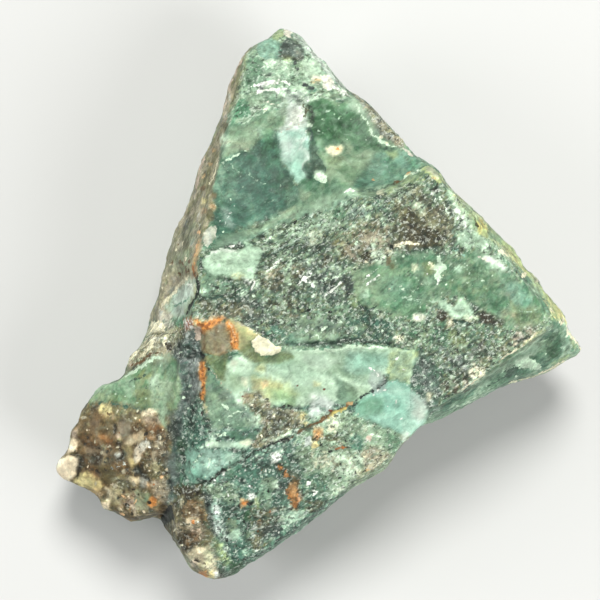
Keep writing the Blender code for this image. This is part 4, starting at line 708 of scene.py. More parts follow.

# the pale scar, the brown chip, the cracks, the aqua piece and the granular lower part
# long cracks, sunk into the surface; their black and slate lines are painted shade
# painted highlight at the aqua piece's lower right
# painted shade along the sunk groove at the brown wedge's right side
# painted shadow right of the ragged end of the scar
# painted shadow: the black triangle at the chip's lower left, over a small sink
# pale scar: its rim, lifted and painted pale as a lit edge, its dark shadow line and its colours
LOWER_MARKS = """
# pale scar: its rim, its dark shadow line and its colours
line jade_dark w5 m.8 l-.3 e2 : 286,344 298,344 312,344 330,344 342,340 352,340 366,342 380,342 392,343
line mint_pale w2.4 m.9 l.12 e1.1 : 290,350 300,350.5 312,351 330,351 341,350 348,346 356,347 366,348 380,348 392,349
area teal m.6 e3 : 262,330 276,326 290,332 300,342 290,346 280,341 270,336
area jade_light m.5 e6 g.06 : 290,352 312,353 340,353 340,368 318,372 290,366
area lilac_pale m.3 e3 g.05 s.6 : 300,356 322,354 338,360 326,370 306,366
area mint m.6 e6 g.05 : 270,366 290,360 316,372 318,388 296,388 272,376
area teal_mint m.6 e3 g.1 s.6 : 346,352 372,352 390,354 388,370 376,374 358,376 344,370
area aqua m.35 e4 : 352,356 384,356 384,366 356,370
area yellow_jade m.95 e1.6 g.4 l.06 : 391,349 400,348 408,351 414,349 419,351 418,356 414,359 411,362 413,366 411,370 413,375 411,380 409,385 403,380 396,378 390,380 387,372 389,360
area jade_light m.5 e2 b.2 : 392,364 408,364 409,378 396,378 390,372
spot white w4 h2.5 m.95 : 370,369 374,371 378,375 398,358 404,370
area lilac m.75 e2 : 370,373 378,371 386,378 385,391 374,394 368,384
area slate_dark m.5 e2 l-.1 : 381,382 383,377 386,376 388,379 386,384
line mint_pale w2 m.8 l.06 e1.9 : 336,374 344,380 352,384 360,386 372,388
area jade_mid m.9 e2.5 l-.12 g.15 s.5 : 334,376 338,381 345,384 351,387 356,390 358,396 356,401 350,404 344,405 338,402 336,396 337,388
area sage m.5 e4 : 344,384 360,388 372,392 362,398 352,400
area mint_pale m.75 e3 l.1 g.1 s.5 : 227,362 232,357 239,355 245,358 251,362 253,368 250,374 240,374 230,372 226,368
area jade_light m.85 e3 g.1 s.5 : 226,372 238,373 249,376 248,384 246,389 240,392 233,393 229,388 225,382 224,377
area sage m.6 e3 : 230,376 242,377 241,390 233,390
area pink_beige m.4 e2.5 : 230,361 236,360 236,367 230,367
area cream m.6 e2 : 241,377 248,378 248,388 243,386
area white m.75 e1.9 l.1 : 235,397 239,399 241,405 237,403
line white w2.2 m.7 : 247,386 250,391
area yellow m.5 e2.5 : 255,366 263,364 266,370 262,374 256,371
area khaki_jade m.8 e2.5 : 250,376 262,377 263,392 252,390
area yellow_green m.85 e7 r4 g.15 : 262,377 276,379 292,386 296,396 290,406 276,404 264,398
area cream_yellow m.5 e4 : 262,378 276,380 284,386 274,388 263,388
area peach m.6 e2 : 261,381 267,380 268,386 263,389
line mint_pale w3 m.75 l.06 e1.9 : 257,371 266,374 276,378 286,382 296,386
area green_light m.6 e4 : 272,388 288,392 296,400 288,410 274,404
area mint m.7 e3 g.15 : 273,400 282,399 286,404 278,408 272,406
area jade_light m.6 e4 g.1 : 296,386 316,386 320,396 312,406 300,404 296,396
area mint_pale m.7 e2.4 : 300,396 306,398 309,403 303,406 297,402
area lilac_pale m.75 e5 g.05 : 312,394 326,394 336,404 330,412 318,420 308,422 308,408
area mint_pale m.6 e3 : 318,376 334,375 338,386 334,404 322,394
area cream_yellow m.5 e2 : 314,381 321,381 320,387 315,387
area white m.6 e2 : 311,393 316,395 316,399 311,399
area granular_beige m.85 e3 r3 : 243,395 262,396 276,408 298,408 304,420 300,428 284,440 262,447 250,446 256,436 262,424 252,414 244,406
area olive_dark m.6 e3 b.25 g1 l-.06 : 246,404 258,402 264,414 290,412 296,418 280,422 262,420 250,412
area granular_brown m.8 e3 r3 g1 : 262,420 300,418 298,430 280,440 262,446 258,434
area slate m.5 e3 b.3 g1 : 266,424 284,422 286,434 268,436
area slate_dark m.5 e2.5 b.3 g1 : 262,410 290,409 290,416 264,417
area brown m.55 e2.5 b.3 g1 : 243,393 262,391 266,398 262,408 246,404
area khaki m.6 e3 b.25 g1 : 250,392 268,392 270,404 254,406
area red_brown m.45 e2 b.2 : 241,393 248,393 248,399 242,399
spot red_brown w2.4 h2.2 m.95 : 297,386 324,389 243,396
spot rust w2.2 h2 m.85 : 329,411 264,391
spot cream w3 h2.4 m.8 f1 : 270,428 262,436 278,434 288,416 296,414 274,416 252,406 290,428 266,444
spot black_green w3.4 h2.6 m.9 l-.1 f1 : 251,408 258,414 266,400 284,406 292,408 274,420 256,394
line black_green w2 m.7 b.25 l-.15 e1.6 : 280,408 286,406 292,405 298,408
area cream_yellow m.7 e2.5 b.2 : 299,410 308,410 309,424 300,426
# cream lens and olive shadow at its top left
area olive_green m.85 e2 l-.1 g.3 s.5 : 239,349 246,345 252,345 254,350 257,354 262,356 272,355 282,352 288,351 293,356 287,361 280,363 270,364 262,364 252,361 244,357 240,355
area jade_deep m.35 e4 : 262,357 284,355 291,357 280,363 264,363
area cream m.95 l.16 e1.3 r1.4 g.1 s.5 : 250,342 254,337.5 259,335.5 267,339.5 275,345 283,350 277,353.5 269,355.5 260,355 255,351
area cream_yellow m.35 e2.4 : 256,346 268,348 274,352 264,354 257,351
area khaki_jade m.9 e1.8 : 226,319 235,321 243,324 250,329 256,333 261,335 256,337 251,341 250,346 246,346 240,350 239,345 239,335 234,326
area khaki m.5 e4 : 232,322 244,326 252,334 244,342 238,336
line cream w2 m.7 l.1 b.2 : 227,318 236,321 245,325 253,331 262,336
# brown chip and its orange rims
area brown_jade m.95 e1.8 l.08 : 200,334 206,330 214,325 222,321 226,324 229,331 230,340 230,348 227,353 218,356 210,356 203,352 200,342
area taupe m.5 e3 : 214,324 224,324 228,338 222,346 216,338
area khaki m.4 e3 : 206,334 220,340 224,346 210,350 203,344
area pink_beige m.6 e2 : 220,345 225,344 226,350 221,351
spot cream w2 h2 m.6 : 218,332 213,338
area tan m.6 e3 : 188,316 198,317 212,317 224,315 228,322 218,326 208,334 198,332 188,324
area orange m.9 e1.9 l.12 g.7 b.1 : 194,318 200,321 206,321 212,320 217,318 221,316 224,319 220,323 214,326 208,330 204,334 200,332 198,326
line rust w3 m.85 l-.1 e1.5 : 197,323 204,326 210,323
line peach w3 m.75 e1.9 b.2 : 212,319 219,316 225,318 229,322
spot rust w3 h3 m.9 : 202,329 206,327 209,329
area tan m.5 e3 : 224,318 234,322 241,334 240,350 230,350 226,334
area orange m.92 e1.9 l.1 g.7 b.08 : 226,319 231,323 236,328 239,334 239.5,342 238,348 233,350 230,346 231,340 229,333 226,326
line peach w2.4 m.85 e1.5 b.15 : 228,322 233,328 236,336 237,344
spot rust w3 h2.4 m.9 : 231,345 230,339 234,334
area cream m.4 e2 b.3 : 208,312 222,311 226,316 214,319
area olive_green m.85 e2 l-.08 s.5 g.3 : 204,357 215,356 228,354 228,361 226,370 224,382 218,376 212,368 206,362
area jade_deep m.4 e3 : 212,362 224,358 224,376 216,370
line beige w1.3 m.7 e1.3 l.04 : 209,368 218,378 228,390 236,402
area black_green m.9 e1.5 l-.25 : 199,350 202,350 205,357 203,360 200,356
spot black_green w4 h3 m.95 l-.2 : 208,370
area brown m.55 e2.5 : 197,358 208,358 209,380 209,402 199,402 197,380
area orange m.9 e1.9 b.12 l-.05 g.9 : 199,362 204,361 206,372 206,385 206,395 204,401 201,400 200,390 199,378
line rust w2 m.85 b.2 : 202,362 203,376 204,392
line tan w4 m.7 b.2 e1.9 : 204,402 206,410 209,420
spot brown_dark w3 h4 m.85 : 202,413
# teal granular area left of the middle
area sage_smooth m.8 e3 : 206,372 222,384 230,392 236,400 232,408 214,404 206,400 204,390
area sage_smooth m.8 e4 r3 g.45 : 206,398 232,396 246,408 256,414 262,424 252,430 232,428 216,432 206,424
area jade_mid m.5 e4 : 208,404 236,404 252,416 240,428 214,426
line mint_pale w1.8 m.85 e1.4 : 221,405 226,407 230,411
line mint_pale w2 m.7 b.2 e1.6 : 226,418 236,412 246,410
line mint_pale w3 m.7 e1.9 : 207,430 210,433 214,436
line mint_pale w2 m.85 e1.4 : 214,434 222,436 229,430
area mint_pale m.75 e1.9 b.12 : 250,415 257,414 261,420 258,426 252,422
spot mint_pale w2.4 h2.2 m.7 f1 : 212,412 218,420 232,418 240,416 246,408 226,398 250,420 238,424 228,424
area jade_deep m.55 e2.4 s.55 g.15 l.06 : 222,434 230,429 238,426 248,427 258,430 262,434 254,438 244,441 232,441 224,439
area slate_violet m.4 e3 : 232,430 250,429 256,434 240,438
area mint_pale m.9 e1.9 l.14 g.1 s.5 : 204.5,445 206,441 209,437 212,436 214,439 217,442 218,447 212,448 207,448
area mint m.85 e2 l.12 g.1 s.5 : 217,442 226,442 236,442 245,440 251,439 252,443 247,448 238,449 228,449 219,448
area cream m.7 e2 : 240,441 247,439 253,438 254,441 250,445 243,446
area teal_dark m.6 e4 : 180,420 194,418 206,430 204,444 190,446 180,436
area teal_mint m.7 e3 g.3 s.6 : 186,448 206,450 226,451 244,452 240,462 222,470 206,482 190,484 184,470
area aqua_light m.5 e5 s.7 : 198,452 222,452 226,462 208,472 198,466
area jade_light m.45 e5 : 224,452 246,452 240,462 228,468
line teal w2 m.6 e2 l-.08 : 221,449 225,458 226,468
area teal m.35 e3 : 184,466 200,470 196,484 186,484
line mint_pale w1.8 m.7 : 204,454 211,461 208,470
spot mint_pale w2.4 h2.2 m.75 : 196,462 190,472 214,464 206,476 200,456 220,460
# long cracks
line black_green w2.4 m1 l-.35 e1 : 216,476 223,472 230,468 238,463 245,459 252,454
line black_green w2.6 m1 l-.35 e1 : 252,454 258,451 264,448 270,445 277,442 283,439 290,438
area black_green m.95 e1.2 l-.3 : 281,440 285,437 290,438 290,443 284,445
line brown w3.4 m.9 l-.2 : 290,438 297,434 303,430 310,427 317,423 325,418 333,413 342,409 350,403
line yellow w3 m.7 e1.5 : 328,418 336,413 345,408
spot red_brown w4 h3 m.85 : 330,410
spot tan w5 h4 m.8 : 350,403
line slate_dark w1.8 m.85 l-.18 e1.3 : 355,401 362,397 371,392 380,386 388,380
line black_green w2.4 m1 l-.3 e1.2 : 200,485 206,482 213,479 217,476
line slate_dark w2.4 m.7 e2 : 190,487 197,487 203,485
line jade_dark w2 m.55 e1.5 : 300,428 318,430 336,424
area cream_yellow m.5 e2.5 b.25 : 299,412 308,411 310,424 301,426
line mint w1.6 m.6 l.06 b.3 : 240,466 256,457 272,449 288,443
area mint_pale m.55 e3 b.3 : 262,440 280,432 300,426 296,436 276,444
# aqua piece
area aqua m.9 e4 g.06 s.85 : 374,402 384,394 396,396 404,404 404,420 392,424 378,414
area green m.45 e4 : 358,402 374,396 384,400 382,416 366,418 356,412
area aqua_light m.3 e5 s.8 : 366,412 386,411 408,411 430,412 426,424 404,442 390,430 374,424
area lilac_pale m.6 e5 g.1 : 411,394 420,394 428,404 428,418 418,426 411,418 409,404
area teal_mint m.25 e5 : 384,390 408,390 414,406 404,430 386,424
spot white w2.6 h1.8 m.8 t30 : 378,391 384,390 387,407 374,394
spot white w2.6 h2 m.8 : 398,417 402,419 396,402
area pink_white m.7 e2.4 l.08 : 400,432 408,431 410,439 403,444
line jade_mid w1.8 m.45 l-.06 e2 : 354,412 364,419 376,424 388,428 400,433
line white w1.2 m.45 b.2 l.04 : 392,381 404,383 414,391 424,399 428,410
line jade_dark w1.4 m.3 e1.6 b.2 l-.06 : 408,384 412,392 411,404 408,416 404,430
area pink_white m.35 e3 g.1 : 414,398 426,402 428,414 420,422 412,414
area aqua_light m.4 e4 g.1 : 404,420 420,420 414,432 406,438 400,432
# slate at its right
area slate m.65 e4 b.2 : 418,352 430,360 440,378 442,398 430,400 422,384
area black_green m.5 e3 b.35 : 414,362 424,356 428,366 424,384 414,386
area olive_dark m.4 e3 b.35 g1 : 424,390 440,390 442,410 430,412
area slate_violet m.55 e3 b.3 : 416,358 428,362 432,380 440,392 428,390 416,378
area lilac_pale m.65 e1.9 l.1 : 429,402 432,400 437,406 440,411 436,414 431,408
area cream m.6 e1.9 : 426,390 431,391 430,402 426,399
area mint m.25 b.45 f1 e2 : 414,360 430,366 438,392 440,414 430,420 426,398
spot mint_pale w3 h2.5 m.55 f1 : 418,366 424,374 420,384 432,384 436,396 442,402 430,418 440,418
area teal_mint m.5 e4 r3 b.15 g.8 : 226,474 250,466 258,480 246,492 228,490
area jade_dark m.5 e3 r3 b.25 g1 : 218,494 236,500 240,516 226,522 216,510
area mint m.45 e3 r3 b.3 g.9 : 236,520 250,516 256,528 244,538 236,532
area jade_dark m.45 e3 r3 b.25 g1 : 256,506 272,510 280,522 266,532 256,520
area teal m.5 e4 r3 b.2 g.8 : 240,552 256,540 270,532 266,548 250,560
area olive_dark m.4 e3 r3 b.3 g1 : 244,524 262,534 258,552 244,548
area jade_dark m.48 e8 r5 g.9 : 222,480 262,466 300,470 302,502 262,532 226,542 214,510
area jade_deep m.6 e1.9 g.5 s.4 : 226,466 236,461 244,466 242,476 232,480 224,476
area teal m.55 e1.9 g.4 s.5 : 240,470 252,466 258,474 252,484 242,482
area sage m.6 e1.9 g.5 : 262,478 274,476 280,484 274,492 262,490
area jade_light m.55 e1.9 g.5 s.4 : 228,496 238,492 242,500 236,508 228,506
area green_dark m.6 e1.9 g.5 s.4 : 244,512 256,508 260,516 252,524 244,520
area mint m.5 e1.9 g.5 : 262,536 272,532 276,540 268,546
area jade_mid m.6 e1.9 g.5 s.4 : 214,534 224,530 230,538 226,548 216,546
area teal_dark m.55 e1.9 g.5 s.4 : 270,506 282,502 286,512 278,520 270,516
area jade_light m.5 e1.9 g.5 : 284,524 294,520 300,528 290,534
area jade_deep m.55 e1.9 g.5 : 300,508 312,502 316,512 306,518
area sage m.55 e1.9 g.5 : 246,534 254,530 260,536 254,544 246,542
# orange vein and emerald grains in the lower part
line brown w8 e3 m.25 b.2 : 277,464 284,468 291,472 297,476 296,486 294,498 292,508
area brown m.7 e1.9 b.3 g.9 : 275,462 281,463 287,470 293,473 299,475 300,481 295,482 289,478 283,475 277,470
area orange m.75 e1.7 b.3 f1 g1 l-.05 : 276,464 281,465 287,471 292,474 297,477 292,479 286,476 280,472
area brown m.75 e1.9 b.3 g1 : 284,490 287,483 294,478 300,480 299,488 302,496 300,506 296,509 291,505 287,500 283,496
area orange m.72 e1.7 b.35 f1 g1 l-.05 : 285,491 289,486 295,483 298,490 300,499 298,507 293,506 288,500
area tan m.7 e1.7 b.45 f1 : 288,482 297,482 299,490 297,498 290,496
area rust m.85 e1.9 b.12 l-.08 : 291,504 298,504 299,510 293,512
spot brown_dark w3 h2.6 m.85 : 292,482 287,493 297,487 291,509 296,508
area slate_dark m.7 e2.5 b.1 l-.1 : 279,477 287,479 284,490 280,490
area teal_dark m.7 e3 l-.1 : 271,494 281,492 282,503 274,506
area emerald m.6 e3 b.15 s.4 g.6 : 254,490 262,486 270,486 273,494 266,502 257,500
area teal m.55 e4 b.2 : 232,460 250,456 262,466 258,494 240,496 232,478
area sage m.6 e4 b.1 g.8 : 206,484 226,480 240,484 238,498 220,502 206,498
area white m.9 e1.9 b.08 l.1 : 268,454 277,452 281,458 276,463 270,464
area mint_pale m.85 e2 b.1 : 272,482 278,481 279,488 274,490
area white m.9 e1.9 b.06 l.12 : 247,494 253,493 257,498 252,501 247,498
area yellow_green m.75 e2.4 b.1 : 254,498 261,498 262,507 255,508
area cream m.5 e2 b.2 : 232,492 237,491 238,498 233,498
area tan m.9 e1.9 : 239,499 244,498 248,501 247,507 242,508 239,504
spot orange w5 h4.4 m.95 : 244.5,503
spot black_green w5.4 h5 m1 l-.2 : 249,504
area tan m.9 e1.9 : 256,520 261,519 263,523 261,527 257,526
spot bone w3 h2.6 m.95 : 259.5,523
area lilac_pale m.9 e1.9 b.12 l.12 : 251,537 259,536 261,544 260,551 255,552 252,545
area white m.8 e1.9 b.2 f1 l.1 : 254,540 260,542 260,549 256,550
area mint_pale m.75 e2 b.1 : 242,549 249,548 250,555 244,556
area sage m.8 e2.5 g.4 s.4 : 226,520 236,519 238,526 234,533 228,531
area mint m.85 e2.4 g.4 s.4 : 231,532 238,528 241,534 238,541 231,540
area jade_dark m.7 e3 b.15 g1 : 222,506 232,508 230,520 222,518
area teal_dark m.55 e4 b.15 g1 : 226,542 244,538 256,544 244,562 230,560
area granular_brown m.6 e5 r3 : 250,504 268,510 284,504 290,514 276,528 262,548 250,550 252,530
area slate_dark m.6 e3 b.2 g1 : 262,526 280,524 280,538 264,538
area olive m.5 e3 b.2 g1 : 256,540 276,538 268,552 256,556
area olive_dark m.45 e3 b.2 g1 : 252,508 262,506 262,518 254,518
area mint m.7 e4 b.12 g.8 : 282,512 296,507 306,510 307,518 296,528 284,530 278,524
line mint_pale w2 m.8 b.2 e1.6 : 283,520 292,514 303,510
line mint_pale w2 m.75 b.2 e1.6 : 286,527 296,520 305,515
area granular_brown m.7 e4 r3 : 302,494 320,500 328,508 316,520 306,512
area aqua_light m.75 e2 b.3 f1 l.1 : 208,501 216,502 222,509 222,518 216,520 210,512
area lilac_pale m.85 e1.9 b.35 f1 l.14 : 213,505 218,505 222,512 218,517 213,512
area aqua_light m.7 e2 b.15 f1 : 213,516 222,514 224,524 216,528
area lilac_pale m.7 e2 b.3 f1 l.1 : 212,520 220,518 226,530 230,540 222,542 214,532
area lilac_pale m.7 e1.9 b.4 f1 l.12 : 216,523 221,524 226,534 224,540 218,534
line slate_dark w2 m.75 b.2 l-.12 e1.5 : 209,508 212,518 213,528 218,538 226,543
line slate_violet w2.4 m.7 b.15 e1.6 : 214,520 220,530 228,540
spot mint_pale w2.8 h2.4 m.8 f1 : 222,488 232,484 212,484 252,478 262,476 256,466 262,512 244,516 270,518 246,556 228,548 222,556 282,508 290,534 274,538 240,472 228,470 308,488 312,480 214,476 270,472 236,550
spot white w2.2 h2 m.9 f1 : 216,480 238,476 246,470 266,470 272,520 234,542 262,536 308,484 314,494 250,486 224,474 278,532 228,496
spot black_green w3 h2.6 m.85 f1 : 226,482 252,486 262,484 230,500 256,512 266,508 236,516 246,530 226,540 258,544 274,530 288,518 222,470 250,470 266,474 238,506 244,522 270,500 280,486 286,536
spot rust w2.6 h2.4 m.8 : 262,470 228,520 270,512 258,530
# crumbly sage part at the right of the lower slope
area tan m.75 e1.8 b.3 : 312,428 323,427 324,440 314,441
area orange m.5 e2 b.3 : 314,430 320,430 320,438 315,439
area cream_yellow m.85 e1.6 : 310,441 318,441 318,448 311,449
area olive_dark m.8 e1.8 b.15 : 309,439 317,439 316,444 310,445
area olive_dark m.7 e2 b.2 l-.08 : 324,434 337,433 338,442 326,443
line rust w3 m.9 l-.08 : 334,449 341,447 348,447
spot black_green w4 h4 m.9 : 349,447.5
area cream m.6 e2.5 b.2 : 325,415 338,413 341,430 328,433
area lilac_pale m.9 e1.4 b.1 : 304,436 312,435 312,445 306,446
area jade_light m.6 e4 b.25 g.5 : 358,425 384,426 400,436 398,450 376,450 358,444
line mint_pale w3 m.65 b.35 : 360,430 376,436 394,440
line white w2 m.6 b.4 : 364,440 380,444 396,446
spot pink_beige w6 h6 m.9 : 370,438
area jade_deep m.5 e3 b.25 : 385,430 400,434 400,454 386,456
area mint_pale m.75 e3 b.35 f1 : 334,455 350,453 366,458 364,474 340,476
area beige m.7 e4 b.25 g1 : 362,448 378,446 392,452 390,474 368,476
area cream m.4 e3 b.35 g1 : 374,460 392,458 390,474 376,476
area tan m.6 e3 b.3 : 354,470 370,468 372,484 358,486
area cream m.5 e3 b.35 : 310,450 330,448 332,468 314,470
area teal m.75 e2.5 b.2 : 349,436 362,435 364,449 351,451
area teal_dark m.6 e4 b.25 g1 : 298,476 318,472 332,480 328,500 306,502
spot white w4 h4 m.95 f1 : 308,483 315,493
area crumbly_sage m.8 e3 b.2 : 330,476 350,474 356,484 340,498 328,504
line white w1.8 m.7 b.35 : 330,482 340,488 350,484
spot mint_pale w2.6 h2.4 m.75 f1 : 322,454 328,462 336,444 344,458 350,466 360,462 376,468 384,462 368,452 344,430 352,424 358,414 340,420 330,438 318,464 324,472 336,482 346,492 332,494 322,502 312,508
spot black_green w3 h3 m.8 f1 : 330,452 340,464 354,458 366,466 380,456 346,440 336,434 322,444 316,476 328,488 340,478 356,472
area granular_teal m.9 e3 r2.5 : 240,560 262,548 300,522 330,500 352,486 356,496 330,512 300,534 262,562 244,572
area crumbly_sage m.8 e3 r2.5 b.2 : 340,488 362,476 386,462 398,446 404,452 392,468 372,482 350,494
area jade_dark m.45 e5 b.3 g1 : 262,470 284,462 300,452 310,470 296,482 276,478
line black_green w1.8 m.7 b.2 l-.1 e1.5 : 262,478 270,484 268,494
line black_green w1.8 m.7 b.3 l-.1 e1.5 : 236,512 246,520 252,530 262,532
area mint m.6 e2 b.2 g.6 : 258,484 266,481 270,488 264,494 258,491
area jade_light m.6 e3 b.2 g.5 : 256,494 268,490 276,498 268,510 258,508
# lower left tip and brown wedge
area brown_dark m.5 e3 b.3 g.9 : 174,498 196,496 206,512 204,540 188,548 176,530
area brown m.6 e3 b.25 g.9 : 180,504 200,500 206,520 198,540 184,536
area granular_black m.8 e4 r3 : 172,486 204,484 208,496 200,502 178,502
area brown_dark m.75 e3 b.1 l-.1 : 180,488 198,486 200,498 184,500
area cream m.85 e2 b.08 : 179,498 183,497 184,506 180,507
area brown m.85 e4 b.15 g1 : 184,500 200,500 202,518 186,518
area taupe m.6 e3 b.2 f1 : 184,502 200,504 200,518 188,518
area tan m.5 e2.4 b.2 : 201,504 206,506 207,520 203,522
area khaki m.5 e3 b.2 : 170,506 184,506 184,520 174,524
area beige m.88 e2.4 b.06 l.14 : 184,520 190,517 200,519 202,526 194,530 186,528
area bone m.7 e2 : 186,518 192,518 193,525 187,526
spot orange w4.4 h4.4 m.9 : 194,522
spot white w3 h3.4 m.9 : 198.5,522
area pink_beige m.6 e3 b.12 f1 : 184,526 204,524 206,540 190,544
area taupe m.7 e3 b.2 g1 : 172,520 184,522 184,538 174,536
area brown_dark m.85 e3 b.1 l-.1 g1 : 176,534 190,532 194,544 190,551 180,549
area brown m.6 e3 b.15 g1 : 184,532 198,532 200,546 190,548
line brown_dark w3 m.85 l-.15 e1.9 : 188,551 194,545 197,541
line slate_dark w5 m.8 l-.2 e1.9 : 205,492 207,505 210,518 213,530
area slate m.4 e3 b.2 : 204,490 212,492 214,508 208,512
area khaki m.6 e3 b.1 : 204,526 212,530 216,544 206,544
area cream m.6 e5 b.1 l.08 g.6 : 184,552 196,545 210,546 219,552 221,564 218,576 206,580 194,574 186,564
area tan m.3 e4 b.1 : 186,550 214,548 218,574 198,578
area beige m.7 e3 b.1 l.1 : 186,556 196,548 206,550 204,560 194,566
area bone m.75 e2.4 b.1 l.12 : 196,548 206,546 207,551 198,556
area cream m.85 e2.4 l.14 : 203,554 212,552 216,562 214,572 208,574 204,564
area yellow_green m.4 e3 : 204,552 214,552 214,562 206,564
area pink_beige m.7 e2.4 : 190,560 198,560 198,568 192,568
area slate m.5 e2.5 b.1 : 211,552 218,550 218,558 213,559
spot brown_dark w5 h4 m.85 l-.1 : 197,560.5
area olive_dark m.6 e3 b.15 : 190,566 204,566 203,574 194,574
area orange m.85 e2 b.05 l.1 : 199,571 207,570 209,577 204,580 200,577
area cream_yellow m.9 e2 l.15 : 207,571 213,570 216,576 213,582 209,580
area white m.85 e1.9 l.12 : 213,572 219,571 220,578 215,579
area brown m.88 e2 : 212,579 224,577 226,583 214,584
spot black_green w4 h4 m.9 : 222,575
area slate_dark m.6 e3 b.1 g1 : 218,566 230,566 232,578 222,580
area green_dark m.85 e3 l-.08 g1 : 230,562 243,562 245,572 236,578 229,574
area yellow_green m.7 e3.5 b.1 : 216,541 222,543 229,556 228,566 221,562 217,550
area olive m.5 e2.4 : 213,540 219,541 219,547 214,547
area granular_teal m.6 e3 r2.5 : 214,562 228,562 228,570 218,570
spot mint_pale w2.6 h2.6 m.75 f1 : 224,552 226,568 230,560 216,566
spot cream w2.6 h2.4 m.75 f1 : 178,514 182,524 190,512 196,534 186,538 182,546 200,538 192,553 174,530 200,514 190,544
area lilac_pale m.2 e5 s.6 : 200,446 238,444 240,470 205,482
area tan m.2 e5 g1 : 174,498 200,503 207,536 183,550
area brown m.1 e4 : 186,550 214,546 217,572 198,574
spot olive_dark w2.6 h2 m.6 f1 : 191,562 197,557 206,563 212,560 203,570 196,568
line taupe w1.5 m.6 e1.2 : 192,555 200,560 207,568 209,575
line taupe w1.4 m.5 e1.2 : 203,549 209,556 213,565
"""
